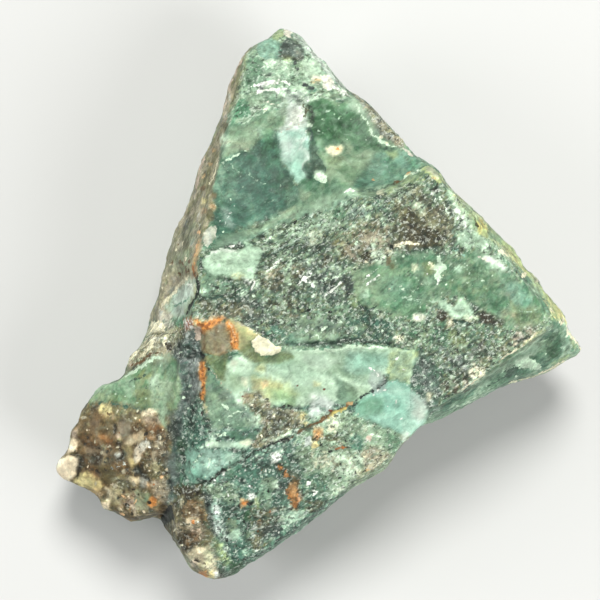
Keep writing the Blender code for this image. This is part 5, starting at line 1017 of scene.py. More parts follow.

# the left side, the shoulder and the pebbly lobe, and the wedge at the right
# painted shade in a deep gap, which is sunk
# painted shade in the deep notch at the lobe's end, which is sunk
# painted shade in the sunk crack between the left side and the broad face
# painted shade on the pebble's right side
LEFT_MARKS = """
# worn left side above the shoulder
area olive_dark m.75 e3 b.15 : 182,236 188,234 189,250 182,256
area olive_dark m.6 e4 b.25 : 168,250 180,248 180,274 168,278
area sage m.5 e4 b.25 : 174,252 190,250 192,268 178,276 170,270
area beige m.6 e3 b.3 : 158,284 172,268 180,262 178,280 166,294
spot brown w3.5 h3.5 m.85 f1 : 182,264 186,270 189,262 180,274 172,262 178,244
spot cream w3 h3 m.9 f1 : 176,250 170,264 182,244 186,258 166,276 162,288
line black_green w3 m.9 l-.25 e1.1 : 194,270 197,280 199,285 198,292 195,298 191,305 188,311 186,316
line rust w2.4 m.8 e1.2 : 192,264 194,272 196,279
area cream m.8 e1.6 l.1 : 162,305 168,297 175,288 182,280 187,277 190,276 186,281 180,287 174,295 167,303 160,310
area aqua_light m.6 e2 l.1 g.12 s.6 : 190,277 195,280 196,288 193,297 190,305 187,312 186,317 180,320 174,317 168,313 164,309 168,303 175,294 182,286
area lilac_pale m.8 e2.4 : 182,288 192,283 193,294 184,304 174,306 172,300
area lilac m.6 e2 : 174,306 184,306 184,316 176,316
area aqua_light m.35 e3 : 171,292 188,283 192,296 181,311 170,307
line white w2 m.85 : 184,286 190,284 193,290
line teal w2 m.7 : 172,306 182,304 190,298
area emerald m.6 e2 : 172,316 180,318 184,316 182,323 178,327 173,324
area pink_white m.7 e2 b.1 : 158,313 172,312 174,328 160,330
area cream m.9 e1.6 b.08 l.06 : 149,322 164,321 166,333 151,334
line olive_dark w2.4 m.85 l-.2 : 147,334 158,333.5 168,334 176,333
area beige m.6 e4 b.2 : 128,350 142,340 170,336 178,344 172,362 148,360 130,366
area cream m.4 e4 b.2 : 146,328 172,325 182,338 166,348 144,344
area khaki m.3 e4 b.3 : 134,352 160,342 172,350 150,360
line cream w2.6 m.9 l.08 : 125,365 130,358 137,352 141,350
line cream w2.6 m.9 l.08 : 143,355 148,349 155,345
line white w2 m.8 b.3 : 150,340 162,338 172,342
area brown_dark m.85 e1.6 l-.15 : 165,343 171,342 172,350 167,351
line brown w2.6 m.9 l-.15 : 128,368 134,365 140,362 150,355 160,352
area jade_light m.5 e3 b.3 : 132,366 146,360 158,354 166,354 154,360 140,368
area rust m.6 e2 b.35 f1 : 183,317 193,318 193,331 184,331
area red_brown m.7 e2 b.5 f1 : 184,318 192,320 192,330 185,331
area white m.8 e1.6 b.5 f1 : 183,318 194,319 193,331 184,331
area pink_beige m.88 e1.6 b.08 : 194,325 201,326 201,340 195,341
area slate_dark m.4 e5 b.25 g1 : 170,336 190,334 200,344 200,364 178,362 170,350
area black_green m.55 e2.5 b.35 l-.15 : 176,344 188,342 196,352 190,362 178,358
area lilac m.75 e2.4 b.2 : 186,358 200,358 201,372 188,373
area lilac m.7 e3 b.25 : 189,378 200,378 201,392 191,393
spot mint_pale w3 h3 m.75 f1 : 180,352 194,364 190,386 184,396 188,408
# top of the lobe
area jade_light m.4 e4 : 94,402 98,388 112,384 112,402
area teal_mint m.25 e3 b.12 : 108,382 126,378 142,380 140,390 112,390
area green m.4 e4 b.2 : 109,386 130,385 131,401 111,402
area olive_green m.6 e3 b.2 : 134,390 151,388 153,406 136,406
area teal_mint m.25 e3 b.1 : 159,359 170,356 178,364 176,376 162,376
area mint_pale m.3 e4 : 149,375 160,372 173,376 173,400 168,416 154,412 148,392
area mint_pale m.5 e2 b.1 : 146,378 158,377 159,384 148,385
area sage m.4 e3 b.2 : 164,385 178,384 179,410 166,411
line mint_pale w3 m.9 l.1 e1.2 : 125,377 133,372 140,367 148,362 155,358 164,357
line jade_dark w2.5 m.7 b.3 l-.12 : 128,382 140,378 150,372
spot mint_pale w2.2 h1.8 m.7 : 116,394 126,396 104,392 134,386 138,402 118,386 160,366 156,404 146,400
spot jade_dark w1.6 h1.6 m.7 : 110,396 124,392 132,394 140,398 146,388 154,396 160,388 168,404 118,398 102,400 150,384
line teal_dark w3 m.65 b.25 l-.12 e1.6 : 88,404 104,402 122,406 138,409 150,410
# brown pebbly end
area khaki m.4 e5 g.6 : 80,412 92,408 100,418 98,434 84,434 78,424
area brown m.28 e6 r4 : 82,424 112,410 160,426 166,500 130,510 92,482
area olive_smooth m.35 e4 g.4 : 112,404 124,404 128,416 116,420
line brown_dark w3 m.85 l-.15 e1.8 : 90,412 94,408 99,405
area cream_yellow m.8 e2.2 l.2 g.7 b.12 r2.8 : 97,407 103,403 108,402 111,406 113,412 110,418 104,421 100,416
area khaki m.6 e2 b.2 : 105,407 110,406 112,411 108,412
line brown w2.4 m.8 : 106,411 109,414 112,414
area taupe m.7 e4 s.6 g.15 l.12 : 91,420 99,419 101,428 98,436 92,434 90,427
area olive_dark m.75 e4 s.5 g.2 : 100,420 112,419 114,430 104,434 100,430
area brown_dark m.85 e2.4 b.15 l-.2 g.8 : 112,423 116,422 118,432 115,435 112,431
area slate_violet m.55 e3 s.6 g.15 l.1 : 118,421 130,421 132,430 126,437 118,436
area taupe m.6 e3 s.6 g.12 : 118,422 131,422 131,432 124,436 118,432
area khaki m.6 e3 b.2 g.8 : 124,408 140,410 142,420 130,424 122,416
spot cream w2.6 h2.2 m.75 f1 : 126,411 132,413 138,411 128,418 136,418 122,410 118,412
area bone m.88 e1.9 l.14 b.06 : 141,413 146,410 152,409 157,410 158,414 152,416 146,416 142,416
area pink_beige m.6 e3 b.15 : 143,417 158,416 162,424 156,430 146,428
area brown m.6 e2.5 b.25 l-.08 : 144,420 156,420 158,428 146,429
area jade_light m.8 e3 g.4 : 158,408 166,412 168,426 166,434 161,426 158,416
area rust m.5 e3 b.15 : 148,426 164,425 166,434 150,435
area beige m.9 e2.4 l.3 g.2 s.5 : 125,440 130,435 136,432 141,430 144,434 144,440 139,443 133,445 127,446 124,444
area peach m.4 e2 : 133,434 138,434 137,439 133,438
area khaki m.75 e3 l.3 g.2 s.5 : 124,446 132,445 134,452 131,460 132,466 128,464 125,456
area cream_yellow m.75 e2.4 l.25 g.2 : 128,459 134,458 140,460 138,465 133,469 128,466
area white m.9 e2 l.35 : 135,450 137,445 143,442 149,442 150,446 145,450 144,455 140,460 136,464 133,458
area bone m.6 e2.4 : 134,448 142,446 142,458 136,460
area peach m.75 e2 l.12 : 145,437 151,435 156,437 155,443 149,441
spot white w4 h3 m.85 : 150,446 146,441
area brown_dark m.6 e3 b.25 g1 l-.1 : 156,430 168,432 168,452 158,450
spot cream w3 h3 m.8 f1 : 160,438 166,444 158,448 164,452 168,438 155,453 162,430
area pink_beige m.8 e3 : 69,430 78,427 80,434 76,438 70,438
area bone m1 e2.2 l.35 g.12 : 69,440 74,438 79,440 79,446 76,450 72,453 67,454 67,447
area brown_dark m.85 e3 l-.16 g.7 : 80,436 88,440 92,443 100,447 96,452 86,449 80,443
area brown m.6 e4 b.2 g.6 : 78,432 98,436 104,452 98,466 82,464 76,448
area brown_dark m.8 e3 b.2 l-.14 g.7 : 84,450 92,452 101,450 104,458 98,466 90,464
area taupe m.6 e2.5 b.15 l.08 : 84,450 92,448 98,451 92,456 86,455
line brown_dark w3.4 m.85 l-.16 e1.9 : 82,456 80,464 79,472 77,478
line brown_dark w1.8 m.85 e1.3 : 63,458 68,455 73,454 76,450
area orange m.7 e2.4 l.06 : 99,436 103,434 107,437 106,441 101,441
area rust m.75 e2.4 l.06 : 105,439 111,439 112,444 107,446 104,443
area pink_beige m.8 e2 l.14 : 114,435 119,434 122,439 117,441
area brown m.5 e5 g.7 : 100,440 122,440 126,470 104,470
area slate m.5 e4 b.25 g.8 : 98,444 114,446 118,462 104,464
area brown_dark m.85 e2.5 b.15 l-.2 g.7 : 114,442 121,441 124,450 127,455 124,462 116,460 119,452
area lilac m.85 e2 l.16 : 113,454 117,451 121,453 120,457 115,458
spot lilac_pale w4 h3 m.8 l.1 : 119,466 124,463 103,444 112,468
area olive_dark m.7 e4 s.5 g.15 l.06 : 100,464 112,463 116,472 112,484 103,484 99,474
area brown m.5 e3 b.2 g1 : 114,462 130,462 134,474 120,478
spot brown_dark w3.4 h3 m.9 l-.1 : 105,469 122,474 108,458 95,458
area bone m1 e2.4 l.5 g.05 s.5 : 53,466 56,461 62,457 68,455 74,456 78,460 78,465 76,472 73,478 68,483 61,481 55,475
area pink_beige m.28 e5 : 56,462 66,459 70,466 64,478 57,474
area taupe m.75 e3.5 : 73,459 80,460 79,468 76,472 73,468
area cream_yellow m.8 e2.4 l.35 g.12 : 69,483 76,478 82,472 90,472 100,478 104,486 98,492 90,491 80,487
area khaki m.25 e3 b.15 : 86,478 96,478 97,487 88,489
area brown m.85 e3 l-.1 : 87,466 96,467 101,474 99,480 92,475
area tan m.7 e2.5 : 88,489 98,488 106,492 100,498 92,494
area black_green m.9 e2.2 b.1 l-.3 : 131,469 136,467 142,467 143,472 149,477 151,482 146,481 139,475
area olive_dark m.9 e4 g1 l-.05 : 142,458 160,458 168,468 166,480 152,480 144,468
area brown m.5 e2.5 b.3 g1 : 144,460 162,460 164,474 148,474
area bone m.95 e2 l.3 g.2 : 127,479 131,476 137,477 139,481 137,485 132,485
area lilac m.7 e2.5 l.2 s.5 : 138,476 147,480 148,488 140,488
area slate_dark m.6 e3 g.8 : 112,478 128,478 132,488 116,490
area peach m.5 e2 : 147,480 151,482 150,490 146,488
area bone m.9 e2.2 l.3 g.2 : 98,507 103,501 108,498 111,502 109,510 104,510
area beige m.8 e2.5 b.06 l.15 : 104,488 114,487 118,494 114,501 106,498
area khaki m.6 e3 s.4 g.3 : 110,496 120,494 122,504 112,507
area brown m.55 e3 b.2 g1 : 119,490 134,488 142,500 140,518 126,520
area pink_beige m.6 e3 b.25 g1 f1 : 120,492 140,492 142,512 124,514
area sage m.75 e3.5 l.1 g.4 s.4 : 135,490 148,490 152,498 148,510 138,512 134,502
area beige m.5 e2.4 b.3 r3 : 106,487 130,485 134,494 118,503 106,498
area beige m.45 e2.4 b.3 f1 : 118,506 136,504 158,506 162,516 134,517 122,514
area tan m.5 e2.4 b.35 r3 : 150,490 164,486 168,498 160,505
area teal m.6 e2 : 144,497 149,497 149,502 144,502
area slate_dark m.7 e2 : 149,508 155,508 155,513 149,513
area orange m.9 e1.9 b.06 : 149,498 153,496 157,498 157,505 152,507 148,504
area taupe m.8 e3 g.8 : 150,480 166,478 170,488 168,504 156,500 150,490
area beige m.5 e3 b.3 f1 : 156,484 168,482 168,500 158,500
area tan m.6 e3 b.15 : 154,506 168,504 168,518 158,518
area black_green m.95 e1.5 l-.45 : 168,506 173,504 174,520 168,522 163,528 161,518
area slate_dark m.6 e5 b.1 : 168,411 180,410 182,430 176,448 168,442
area black_green m.6 e3 b.15 l-.14 : 168,424 178,420 180,436 174,444 168,436
area green_dark m.6 e3 : 176,438 186,436 188,452 180,456
area slate m.7 e4 s.4 g.3 : 162,452 174,450 180,464 176,478 170,474 163,462
line slate_violet w4 m.5 b.1 e2 : 167,452 170,462 168,470
line black_green w2.4 m.7 b.2 l-.2 e1.6 : 168,470 170,482 171,494
spot bone w2.6 h2.4 m.7 f1 : 88,430 108,428 146,426 112,484 128,496 144,512 160,486 122,510 88,466 76,434 166,470 158,472 150,470
spot brown_dark w3.6 h3.2 m.8 f1 l-.1 : 140,448 150,456 142,466 134,490 118,498 140,494 150,502 128,504 98,472 112,468 158,462 164,474 110,440 126,508 132,514
spot rust w2.4 h2.2 m.7 f1 : 96,446 158,444 120,432 154,484 122,506 130,510
spot peach w3.6 h3 m.8 f1 l.08 : 140,420 152,464 124,498 136,502 162,478 122,514
# bumps and notches of the broken rim
spot - w10 h10 e3 l.32 : 456,192 479,213 504,237 524,264 547,293 567,321
spot - w9 h9 e3 l-.3 : 467,203 492,227 517,250 536,276 557,305
spot - w9 h8 e3 l.28 : 566,363 536,377 500,388 461,411
spot - w8 h8 e3 l-.28 : 551,371 521,381 481,399 446,419
spot - w9 h10 e3 l.3 : 241,57 226,92 211,139 197,172 185,208 170,243 160,280 146,330
spot - w9 h9 e3 l-.3 : 231,77 219,119 203,153 192,192 176,227 165,259 152,306
spot - w9 h9 e3 l.3 : 306,43 341,83 378,111 405,143 302,528 335,501 372,476 396,454
spot - w8 h8 e3 l-.28 : 322,60 360,97 392,127 420,158 286,538 318,514 352,487 385,469
area brown m.45 e4 b.25 g.6 : 76,420 96,410 110,416 118,430 112,446 92,450 76,440
area rust m.12 e6 r4 : 80,420 110,410 160,424 166,500 130,512 90,482
area brown m.4 e4 b.3 g.6 : 140,424 166,428 168,460 150,470 134,462 144,446
area khaki m.5 e4 b.25 f1 g.7 : 112,476 134,472 140,490 124,500 110,494
spot brown_dark w4 h3.4 m.85 f1 l-.12 : 84,444 92,456 100,448 108,452 88,438 104,462 146,434 158,438 152,446 136,474 126,470
spot beige w4 h3.4 m.8 f1 l.08 : 84,418 94,442 102,452 110,446 118,448 124,472 134,484 116,486 148,466 156,474 146,492 128,508 96,484 108,492 136,428 152,432
spot khaki w5 h4 m.75 e2 l.06 : 88,424 104,446 120,440 148,454 160,464 118,478 140,500 104,500
# the wedge at the right
area green_dark m.6 e3 : 545,334 560,332 568,342 556,352 546,350
area jade_deep m.48 e5 : 498,374 530,354 556,336 570,344 550,360 520,374 500,381
area sage m.55 e3 b.2 : 500,366 526,352 550,339 552,346 530,358 506,374
line jade_light w4 m.5 e1.8 : 512,356 527,348 542,343
line jade_mid w3 m.7 : 506,366 524,356 548,345
spot mint w5 h4 m.7 : 548,328.5 556,330.5 567,344 570,353 563,348
area mint_pale m.9 e1.6 b.1 l.12 : 515,361 520,358 528,357 535,361 541,364 538,370 530,369 524,367 518,366
area jade_dark m.8 e1.8 l-.08 : 505,368 514,364 520,368 517,376 508,378
area jade_mid m.6 e3 s.5 : 479,376 500,374 502,389 482,391
area jade_deep m.4 e3 : 489,379 506,377 506,388 491,390
area green_dark m.85 e1.8 b.1 l-.06 : 546,350 555,345 561,351 557,358 548,357
area mint m.5 e1.7 b.2 l.08 : 518,353 530,347 540,345 536,351 526,355
line mint w2 m.5 b.25 : 505,372 514,366 524,362
line green_dark w2.4 m.6 b.2 : 536,354 550,348 562,340
line mint_pale w1.6 m.5 b.25 e1.6 : 500,374 512,365 526,357 542,350
line jade_light w2 m.75 b.1 : 520,352 536,344 550,337
area mint m.45 e1.7 b.25 : 560,334 568,338 572,346 566,348 561,341
line jade_dark w2.4 m.7 b.2 e1.7 : 486,386 500,379 512,374
line mint w1.6 m.6 b.25 e1.6 : 470,398 486,390 500,383
line cream w3.6 m.9 e1.6 l.1 : 565,330 574,338 582,348 580,354
line cream w3.4 m.9 e1.6 l.1 b.12 : 580,354 570,360 561,363 553,368 545,372 535,377 521,381 508,385
line yellow_green w3 m.6 e2 b.3 : 570,338 576,348 566,358 552,364
line lilac w3 m.5 e1.9 : 505,386 494,391 482,398 470,404
area jade_deep m.2 e4 : 440,404 462,394 486,388 490,394 464,408 442,418
area jade_mid m.6 e2.5 s.5 : 423,414 440,410 451,414 440,424 425,428
area jade_deep m.5 e3 b.2 : 452,400 462,395 468,399 462,405 454,406
line teal_dark w2 m.5 l-.2 e2 : 430,412 440,408 450,402 462,396
line mint_pale w2.4 m.8 b.25 : 452,410 470,402 488,394
spot mint_pale w2.5 h2.5 m.75 f1 : 520,368 546,354 566,336 516,376 486,386 458,406 572,346 540,368
area lilac m.16 e5 : 168,238 187,238 182,264 166,270
area taupe m.35 e4 g1 : 146,436 165,434 167,476 146,478
area beige m.55 e2.2 b.3 f1 r3 : 150,444 164,441 162,456 152,460
area khaki m.5 e2.4 b.3 f1 r3 : 150,462 163,459 165,472 152,476
area brown_dark m.6 e2.4 b.3 l-.08 : 156,456 166,454 168,461 158,463
area beige m.4 e2.4 b.3 f1 r3 : 108,423 116,420 118,430 110,432
"""


# --------------------------------------------------------------------------- noise
RANDOM = np.random.RandomState(20)
ARROWS = RANDOM.normal(size=(256, 3))
ARROWS /= np.linalg.norm(ARROWS, axis=1, keepdims=True)
CHANCE = RANDOM.random_sample((256, 4))
SHUFFLE = RANDOM.permutation(256)


def pick(i, j, k, seed):
    return SHUFFLE[(i + SHUFFLE[(j + SHUFFLE[(k + seed) & 255]) & 255]) & 255]


def noise3(p, seed=0):
    """Smooth noise at the points p, about -1 to 1, with a wavelength of 1."""
    whole = np.floor(p).astype(np.int64)
    part = p - whole
    ease = part * part * part * (part * (part * 6 - 15) + 10)
    total = np.zeros(len(p))
    for dx in (0, 1):
        wx = ease[:, 0] if dx else 1 - ease[:, 0]
        for dy in (0, 1):
            wy = ease[:, 1] if dy else 1 - ease[:, 1]
            for dz in (0, 1):
                wz = ease[:, 2] if dz else 1 - ease[:, 2]
                arrow = ARROWS[pick(whole[:, 0] + dx, whole[:, 1] + dy, whole[:, 2] + dz, seed)]
                away = part - (dx, dy, dz)
                total += wx * wy * wz * np.einsum("ij,ij->i", arrow, away)
    return total * 1.7


def fractal(p, size, octaves=4, seed=0, gain=0.5):
    """Noise of several sizes, the largest size mm, about -1 to 1."""
    total, amount, weight = np.zeros(len(p)), 1.0, 0.0
    for k in range(octaves):
        total += amount * noise3(p * (2.0**k / size) + 17.3 * k, seed + 7 * k)
        weight += amount * amount
        amount *= gain
    return total / math.sqrt(weight)


def crystals(p, size, seed=0):
    """For each point: how far it is inside its crystal (0 at the rim), and the crystal's number."""
    q = p / size
    whole = np.floor(q).astype(np.int64)
    nearest = np.full(len(q), 9.0)
    second = np.full(len(q), 9.0)
    number = np.zeros(len(q), dtype=np.int64)
    for dx in (-1, 0, 1):
        for dy in (-1, 0, 1):
            for dz in (-1, 0, 1):
                n = pick(whole[:, 0] + dx, whole[:, 1] + dy, whole[:, 2] + dz, seed)
                centre = whole + (dx, dy, dz) + CHANCE[n, :3]
                d = np.linalg.norm(centre - q, axis=1)
                closer = d < nearest
                second = np.where(closer, nearest, np.minimum(second, d))
                nearest = np.where(closer, d, nearest)
                number = np.where(closer, n, number)
    return second - nearest, number


def ease_step(low, high, x):
    t = np.clip((x - low) / (high - low), 0.0, 1.0)
    return t * t * (3 - 2 * t)


# ----------------------------------------------------------------- the body's geometry
def place(u, v, z):
    """The point in metres of a corner written in view units and millimetres."""
    k = UNIT * (REF_Z + EYE - z) / EYE
    return Vector(((u - 300) * k + ORIGIN[0], (300 - v) * k + ORIGIN[1], z)) * MM


def seen_at(co):
    """Where the camera sees the points co (mm), as (u, v)."""
    k = UNIT * (REF_Z + EYE - co[:, 2]) / EYE
    return np.column_stack((300 + (co[:, 0] - ORIGIN[0]) / k, 300 - (co[:, 1] - ORIGIN[1]) / k))


def towards_eye(co):
    way = np.array([ORIGIN[0], ORIGIN[1], REF_Z + EYE]) - co
    return way / np.linalg.norm(way, axis=1, keepdims=True)


def new_object(name, mesh):
    obj = bpy.data.objects.new(name, mesh)
    bpy.context.scene.collection.objects.link(obj)
    return obj


def hull(name, corners):
    bm = bmesh.new()
    for corner in corners:
        bm.verts.new(place(*corner))
    made = bmesh.ops.convex_hull(bm, input=bm.verts[:])
    spare = {e for e in made["geom_interior"] + made["geom_unused"] if e.is_valid}
    bmesh.ops.delete(bm, geom=[e for e in spare if isinstance(e, bmesh.types.BMVert)], context="VERTS")
    bmesh.ops.recalc_face_normals(bm, faces=bm.faces[:])
    mesh = bpy.data.meshes.new(name)
    bm.to_mesh(mesh)
    bm.free()
    return new_object(name, mesh)


def outline_prism():
    """The outline as a filled curve with a thickness, made a mesh and tapered along the lines of view."""
    curve = bpy.data.curves.new("outline", "CURVE")
    curve.dimensions, curve.fill_mode, curve.extrude = "2D", "BOTH", 0.03
    spline = curve.splines.new("POLY")
    spline.points.add(len(OUTLINE) - 1)
    for point, (u, v) in zip(spline.points, OUTLINE):
        point.co = (u, -v, 0, 1)
    spline.use_cyclic_u = True
    flat = new_object("outline_curve", curve)
    graph = bpy.context.evaluated_depsgraph_get()
    mesh = bpy.data.meshes.new_from_object(flat.evaluated_get(graph))
    bpy.data.objects.remove(flat)
    bm = bmesh.new()
    bm.from_mesh(mesh)
    bmesh.ops.remove_doubles(bm, verts=bm.verts[:], dist=1e-4)
    for vert in bm.verts:
        vert.co = place(vert.co.x, -vert.co.y, 40.0 if vert.co.z > 0 else -6.0)
    bmesh.ops.recalc_face_normals(bm, faces=bm.faces[:])
    bm.to_mesh(mesh)
    bm.free()
    return new_object("outline", mesh)


def ball(name, centre, outward, half_width, depth):
    radius = (half_width**2 + depth**2) / (2 * depth)
    out = Vector(outward).normalized()
    bm = bmesh.new()
    bmesh.ops.create_uvsphere(bm, u_segments=56, v_segments=40, radius=radius * MM)
    bmesh.ops.translate(bm, verts=bm.verts[:], vec=place(*centre) + out * (radius - depth) * MM)
    mesh = bpy.data.meshes.new(name)
    bm.to_mesh(mesh)
    bm.free()
    return new_object(name, mesh)


def rod(name, start, end, radius):
    a, b = place(*start), place(*end)
    bm = bmesh.new()
    bmesh.ops.create_cone(
        bm, cap_ends=True, segments=20, radius1=radius * MM, radius2=radius * MM, depth=(b - a).length
    )
    turn = (b - a).to_track_quat("Z", "Y").to_matrix().to_4x4()
    turn.translation = (a + b) / 2
    bmesh.ops.transform(bm, matrix=turn, verts=bm.verts[:])
    mesh = bpy.data.meshes.new(name)
    bm.to_mesh(mesh)
    bm.free()
    return new_object(name, mesh)


def evaluated(obj):
    bpy.context.view_layer.update()
    graph = bpy.context.evaluated_depsgraph_get()
    return bpy.data.meshes.new_from_object(obj.evaluated_get(graph))


def body_mesh():
    """The blocks joined, trimmed, hollowed and given an even grain."""
    blocks = [hull(name, corners) for name, corners in BLOCKS.items()]
    cutters = [(block, "UNION") for block in blocks[1:]] + [(outline_prism(), "INTERSECT")]
    cutters += [(ball(name, *hollow), "DIFFERENCE") for name, hollow in HOLLOWS.items()]
    cutters += [(rod("groove", *GROOVE), "DIFFERENCE")]
    joined = blocks[0]
    for other, operation in cutters:
        modifier = joined.modifiers.new(other.name, "BOOLEAN")
        modifier.object, modifier.operation, modifier.solver = other, operation, "EXACT"
    remesh = joined.modifiers.new("grain", "REMESH")
    remesh.mode, remesh.voxel_size, remesh.adaptivity = "VOXEL", VOXEL * MM, 0.0
    mesh = evaluated(joined)
    for obj in [joined] + [other for other, _ in cutters]:
        bpy.data.objects.remove(obj)
    return mesh


def corners_of(mesh):
    co = np.empty(len(mesh.vertices) * 3)
    mesh.vertices.foreach_get("co", co)
    return co.reshape(-1, 3) / MM


def normals_of(mesh):
    out = np.empty(len(mesh.vertices) * 3)
    mesh.vertices.foreach_get("normal", out)
    return out.reshape(-1, 3)


def move_to(mesh, co):
    mesh.vertices.foreach_set("co", (co * MM).ravel())
    mesh.update()


def smoothed(mesh, rounds, share=0.5, only=None):
    """Evens the corners out towards their neighbours, to take the steps of the grain off."""
    edges = np.empty(len(mesh.edges) * 2, dtype=np.int64)
    mesh.edges.foreach_get("vertices", edges)
    a, b = edges.reshape(-1, 2).T
    count = np.bincount(a, minlength=len(mesh.vertices)) + np.bincount(b, minlength=len(mesh.vertices))
    co = corners_of(mesh)
    for _ in range(rounds):
        mean = np.zeros_like(co)
        for axis in range(3):
            mean[:, axis] = np.bincount(a, co[b, axis], len(co)) + np.bincount(b, co[a, axis], len(co))
        mean /= count[:, None]
        step = share if only is None else share * only[:, None]
        co = co + step * (mean - co)
    move_to(mesh, co)


def split_seen_faces(mesh):
    """Halves the grain of the faces that the camera sees."""
    co, normal = corners_of(mesh), normals_of(mesh)
    facing = np.einsum("ij,ij->i", normal, towards_eye(co)) > 0.1
    bm = bmesh.new()
    bm.from_mesh(mesh)
    bm.verts.ensure_lookup_table()
    edges = {
        edge for face in bm.faces if all(facing[vert.index] for vert in face.verts) for edge in face.edges
    }
    bmesh.ops.subdivide_edges(bm, edges=list(edges), cuts=1, use_grid_fill=True)
    bmesh.ops.triangulate(bm, faces=[face for face in bm.faces if len(face.verts) > 4])
    bm.to_mesh(mesh)
    bm.free()


def coarse_relief(mesh, calm):
    """Moves each point along its normal by two sizes of broken relief, less on the upper faces."""
    co, normal = corners_of(mesh), normals_of(mesh)
    push = np.zeros(len(co))
    for k, (relief, wave) in enumerate((ROUGH_COARSE, ROUGH_FINE)):
        here = co / wave + np.array((11.3, 4.7, 7.9)) * (k + 1)
        ridged = np.array([
            noise.ridged_multi_fractal(q, 0.9, 2.1, 3, 1.0, 2.0, noise_basis="PERLIN_ORIGINAL") for q in here
        ])
        even = np.array([noise.noise(q) for q in here * 0.6])
        part = relief * (ridged * 0.5 - 0.9) + 0.5 * relief * even
        push += part * (1.0 - (0.3 + 0.5 * k) * calm)
    upward = np.maximum(0.0, normal[:, 2])
    fade = np.clip(co[:, 2] / 2.0, 0.0, 1.0)
    push *= (1.0 - 0.62 * upward) * fade
    move_to(mesh, co + normal * push[:, None])


# --------------------------------------------------------------- the marks on the stone
def read_marks(*tables):
    marks = []
    for line in "\n".join(tables).splitlines():
        line = line.split("#")[0].strip()
        if not line:
            continue
        head, tail = line.split(":")
        kind, name, *options = head.split()
        values = {word[0]: float(word[1:]) for word in options}
        points = np.array([[float(x) for x in pair.split(",")] for pair in tail.split()])
        marks.append((kind, name, values, points))
    return marks


def rounded(points, closed):
    """One round of corner cutting."""
    after = np.roll(points, -1, axis=0)
    if closed:
        cut = np.stack((points * 0.85 + after * 0.15, points * 0.15 + after * 0.85), axis=1)
        return cut.reshape(-1, 2)
    cut = np.stack((points * 0.78 + after * 0.22, points * 0.22 + after * 0.78), axis=1)[:-1].reshape(-1, 2)
    return np.vstack((points[:1], cut[1:-1], points[-1:]))


def inside_by(where, points):
    """How far each place is inside the outline, in view units; less than 0 outside."""
    x, y = where.T
    best = np.full(len(where), 1e9)
    inside = np.zeros(len(where), dtype=bool)
    for a, b in zip(points, np.roll(points, -1, axis=0)):
        edge = b - a
        long = edge @ edge
        if long < 1e-9:
            continue
        t = np.clip(((x - a[0]) * edge[0] + (y - a[1]) * edge[1]) / long, 0, 1)
        best = np.minimum(best, (x - a[0] - t * edge[0]) ** 2 + (y - a[1] - t * edge[1]) ** 2)
        if a[1] != b[1]:
            crosses = ((a[1] > y) != (b[1] > y)) & (x < (b[0] - a[0]) * (y - a[1]) / (b[1] - a[1]) + a[0])
            inside ^= crosses
    return np.where(inside, np.sqrt(best), -np.sqrt(best))


def along(where, points):
    """How far each place is from the line, and its place along it, 0 to 1."""
    lengths = np.linalg.norm(np.diff(points, axis=0), axis=1)
    total, done = lengths.sum(), 0.0
    best = np.full(len(where), 1e9)
    at = np.zeros(len(where))
    for a, b, long in zip(points, points[1:], lengths):
        if long < 1e-9:
            continue
        edge = (b - a) / long
        t = np.clip((where - a) @ edge, 0, long)
        d = np.hypot(where[:, 0] - a[0] - t * edge[0], where[:, 1] - a[1] - t * edge[1])
        closer = d < best
        best = np.where(closer, d, best)
        at = np.where(closer, (done + t) / total, at)
        done += long
    return best, at


def hollowness(mesh):
    """How far each corner lies under (more than 0) or over the mean of the corners around it, in mm."""
    edges = np.empty(len(mesh.edges) * 2, dtype=np.int64)
    mesh.edges.foreach_get("vertices", edges)
    a, b = edges.reshape(-1, 2).T
    co, normal = corners_of(mesh), normals_of(mesh)
    count = np.bincount(a, minlength=len(co)) + np.bincount(b, minlength=len(co))

    def around(values):
        return (np.bincount(a, values[b], len(co)) + np.bincount(b, values[a], len(co))) / count

    mean = co.copy()
    for _ in range(3):
        mean = np.column_stack([around(mean[:, axis]) for axis in range(3)])
    depth = np.einsum("ij,ij->i", mean - co, normal)
    return around(around(depth))


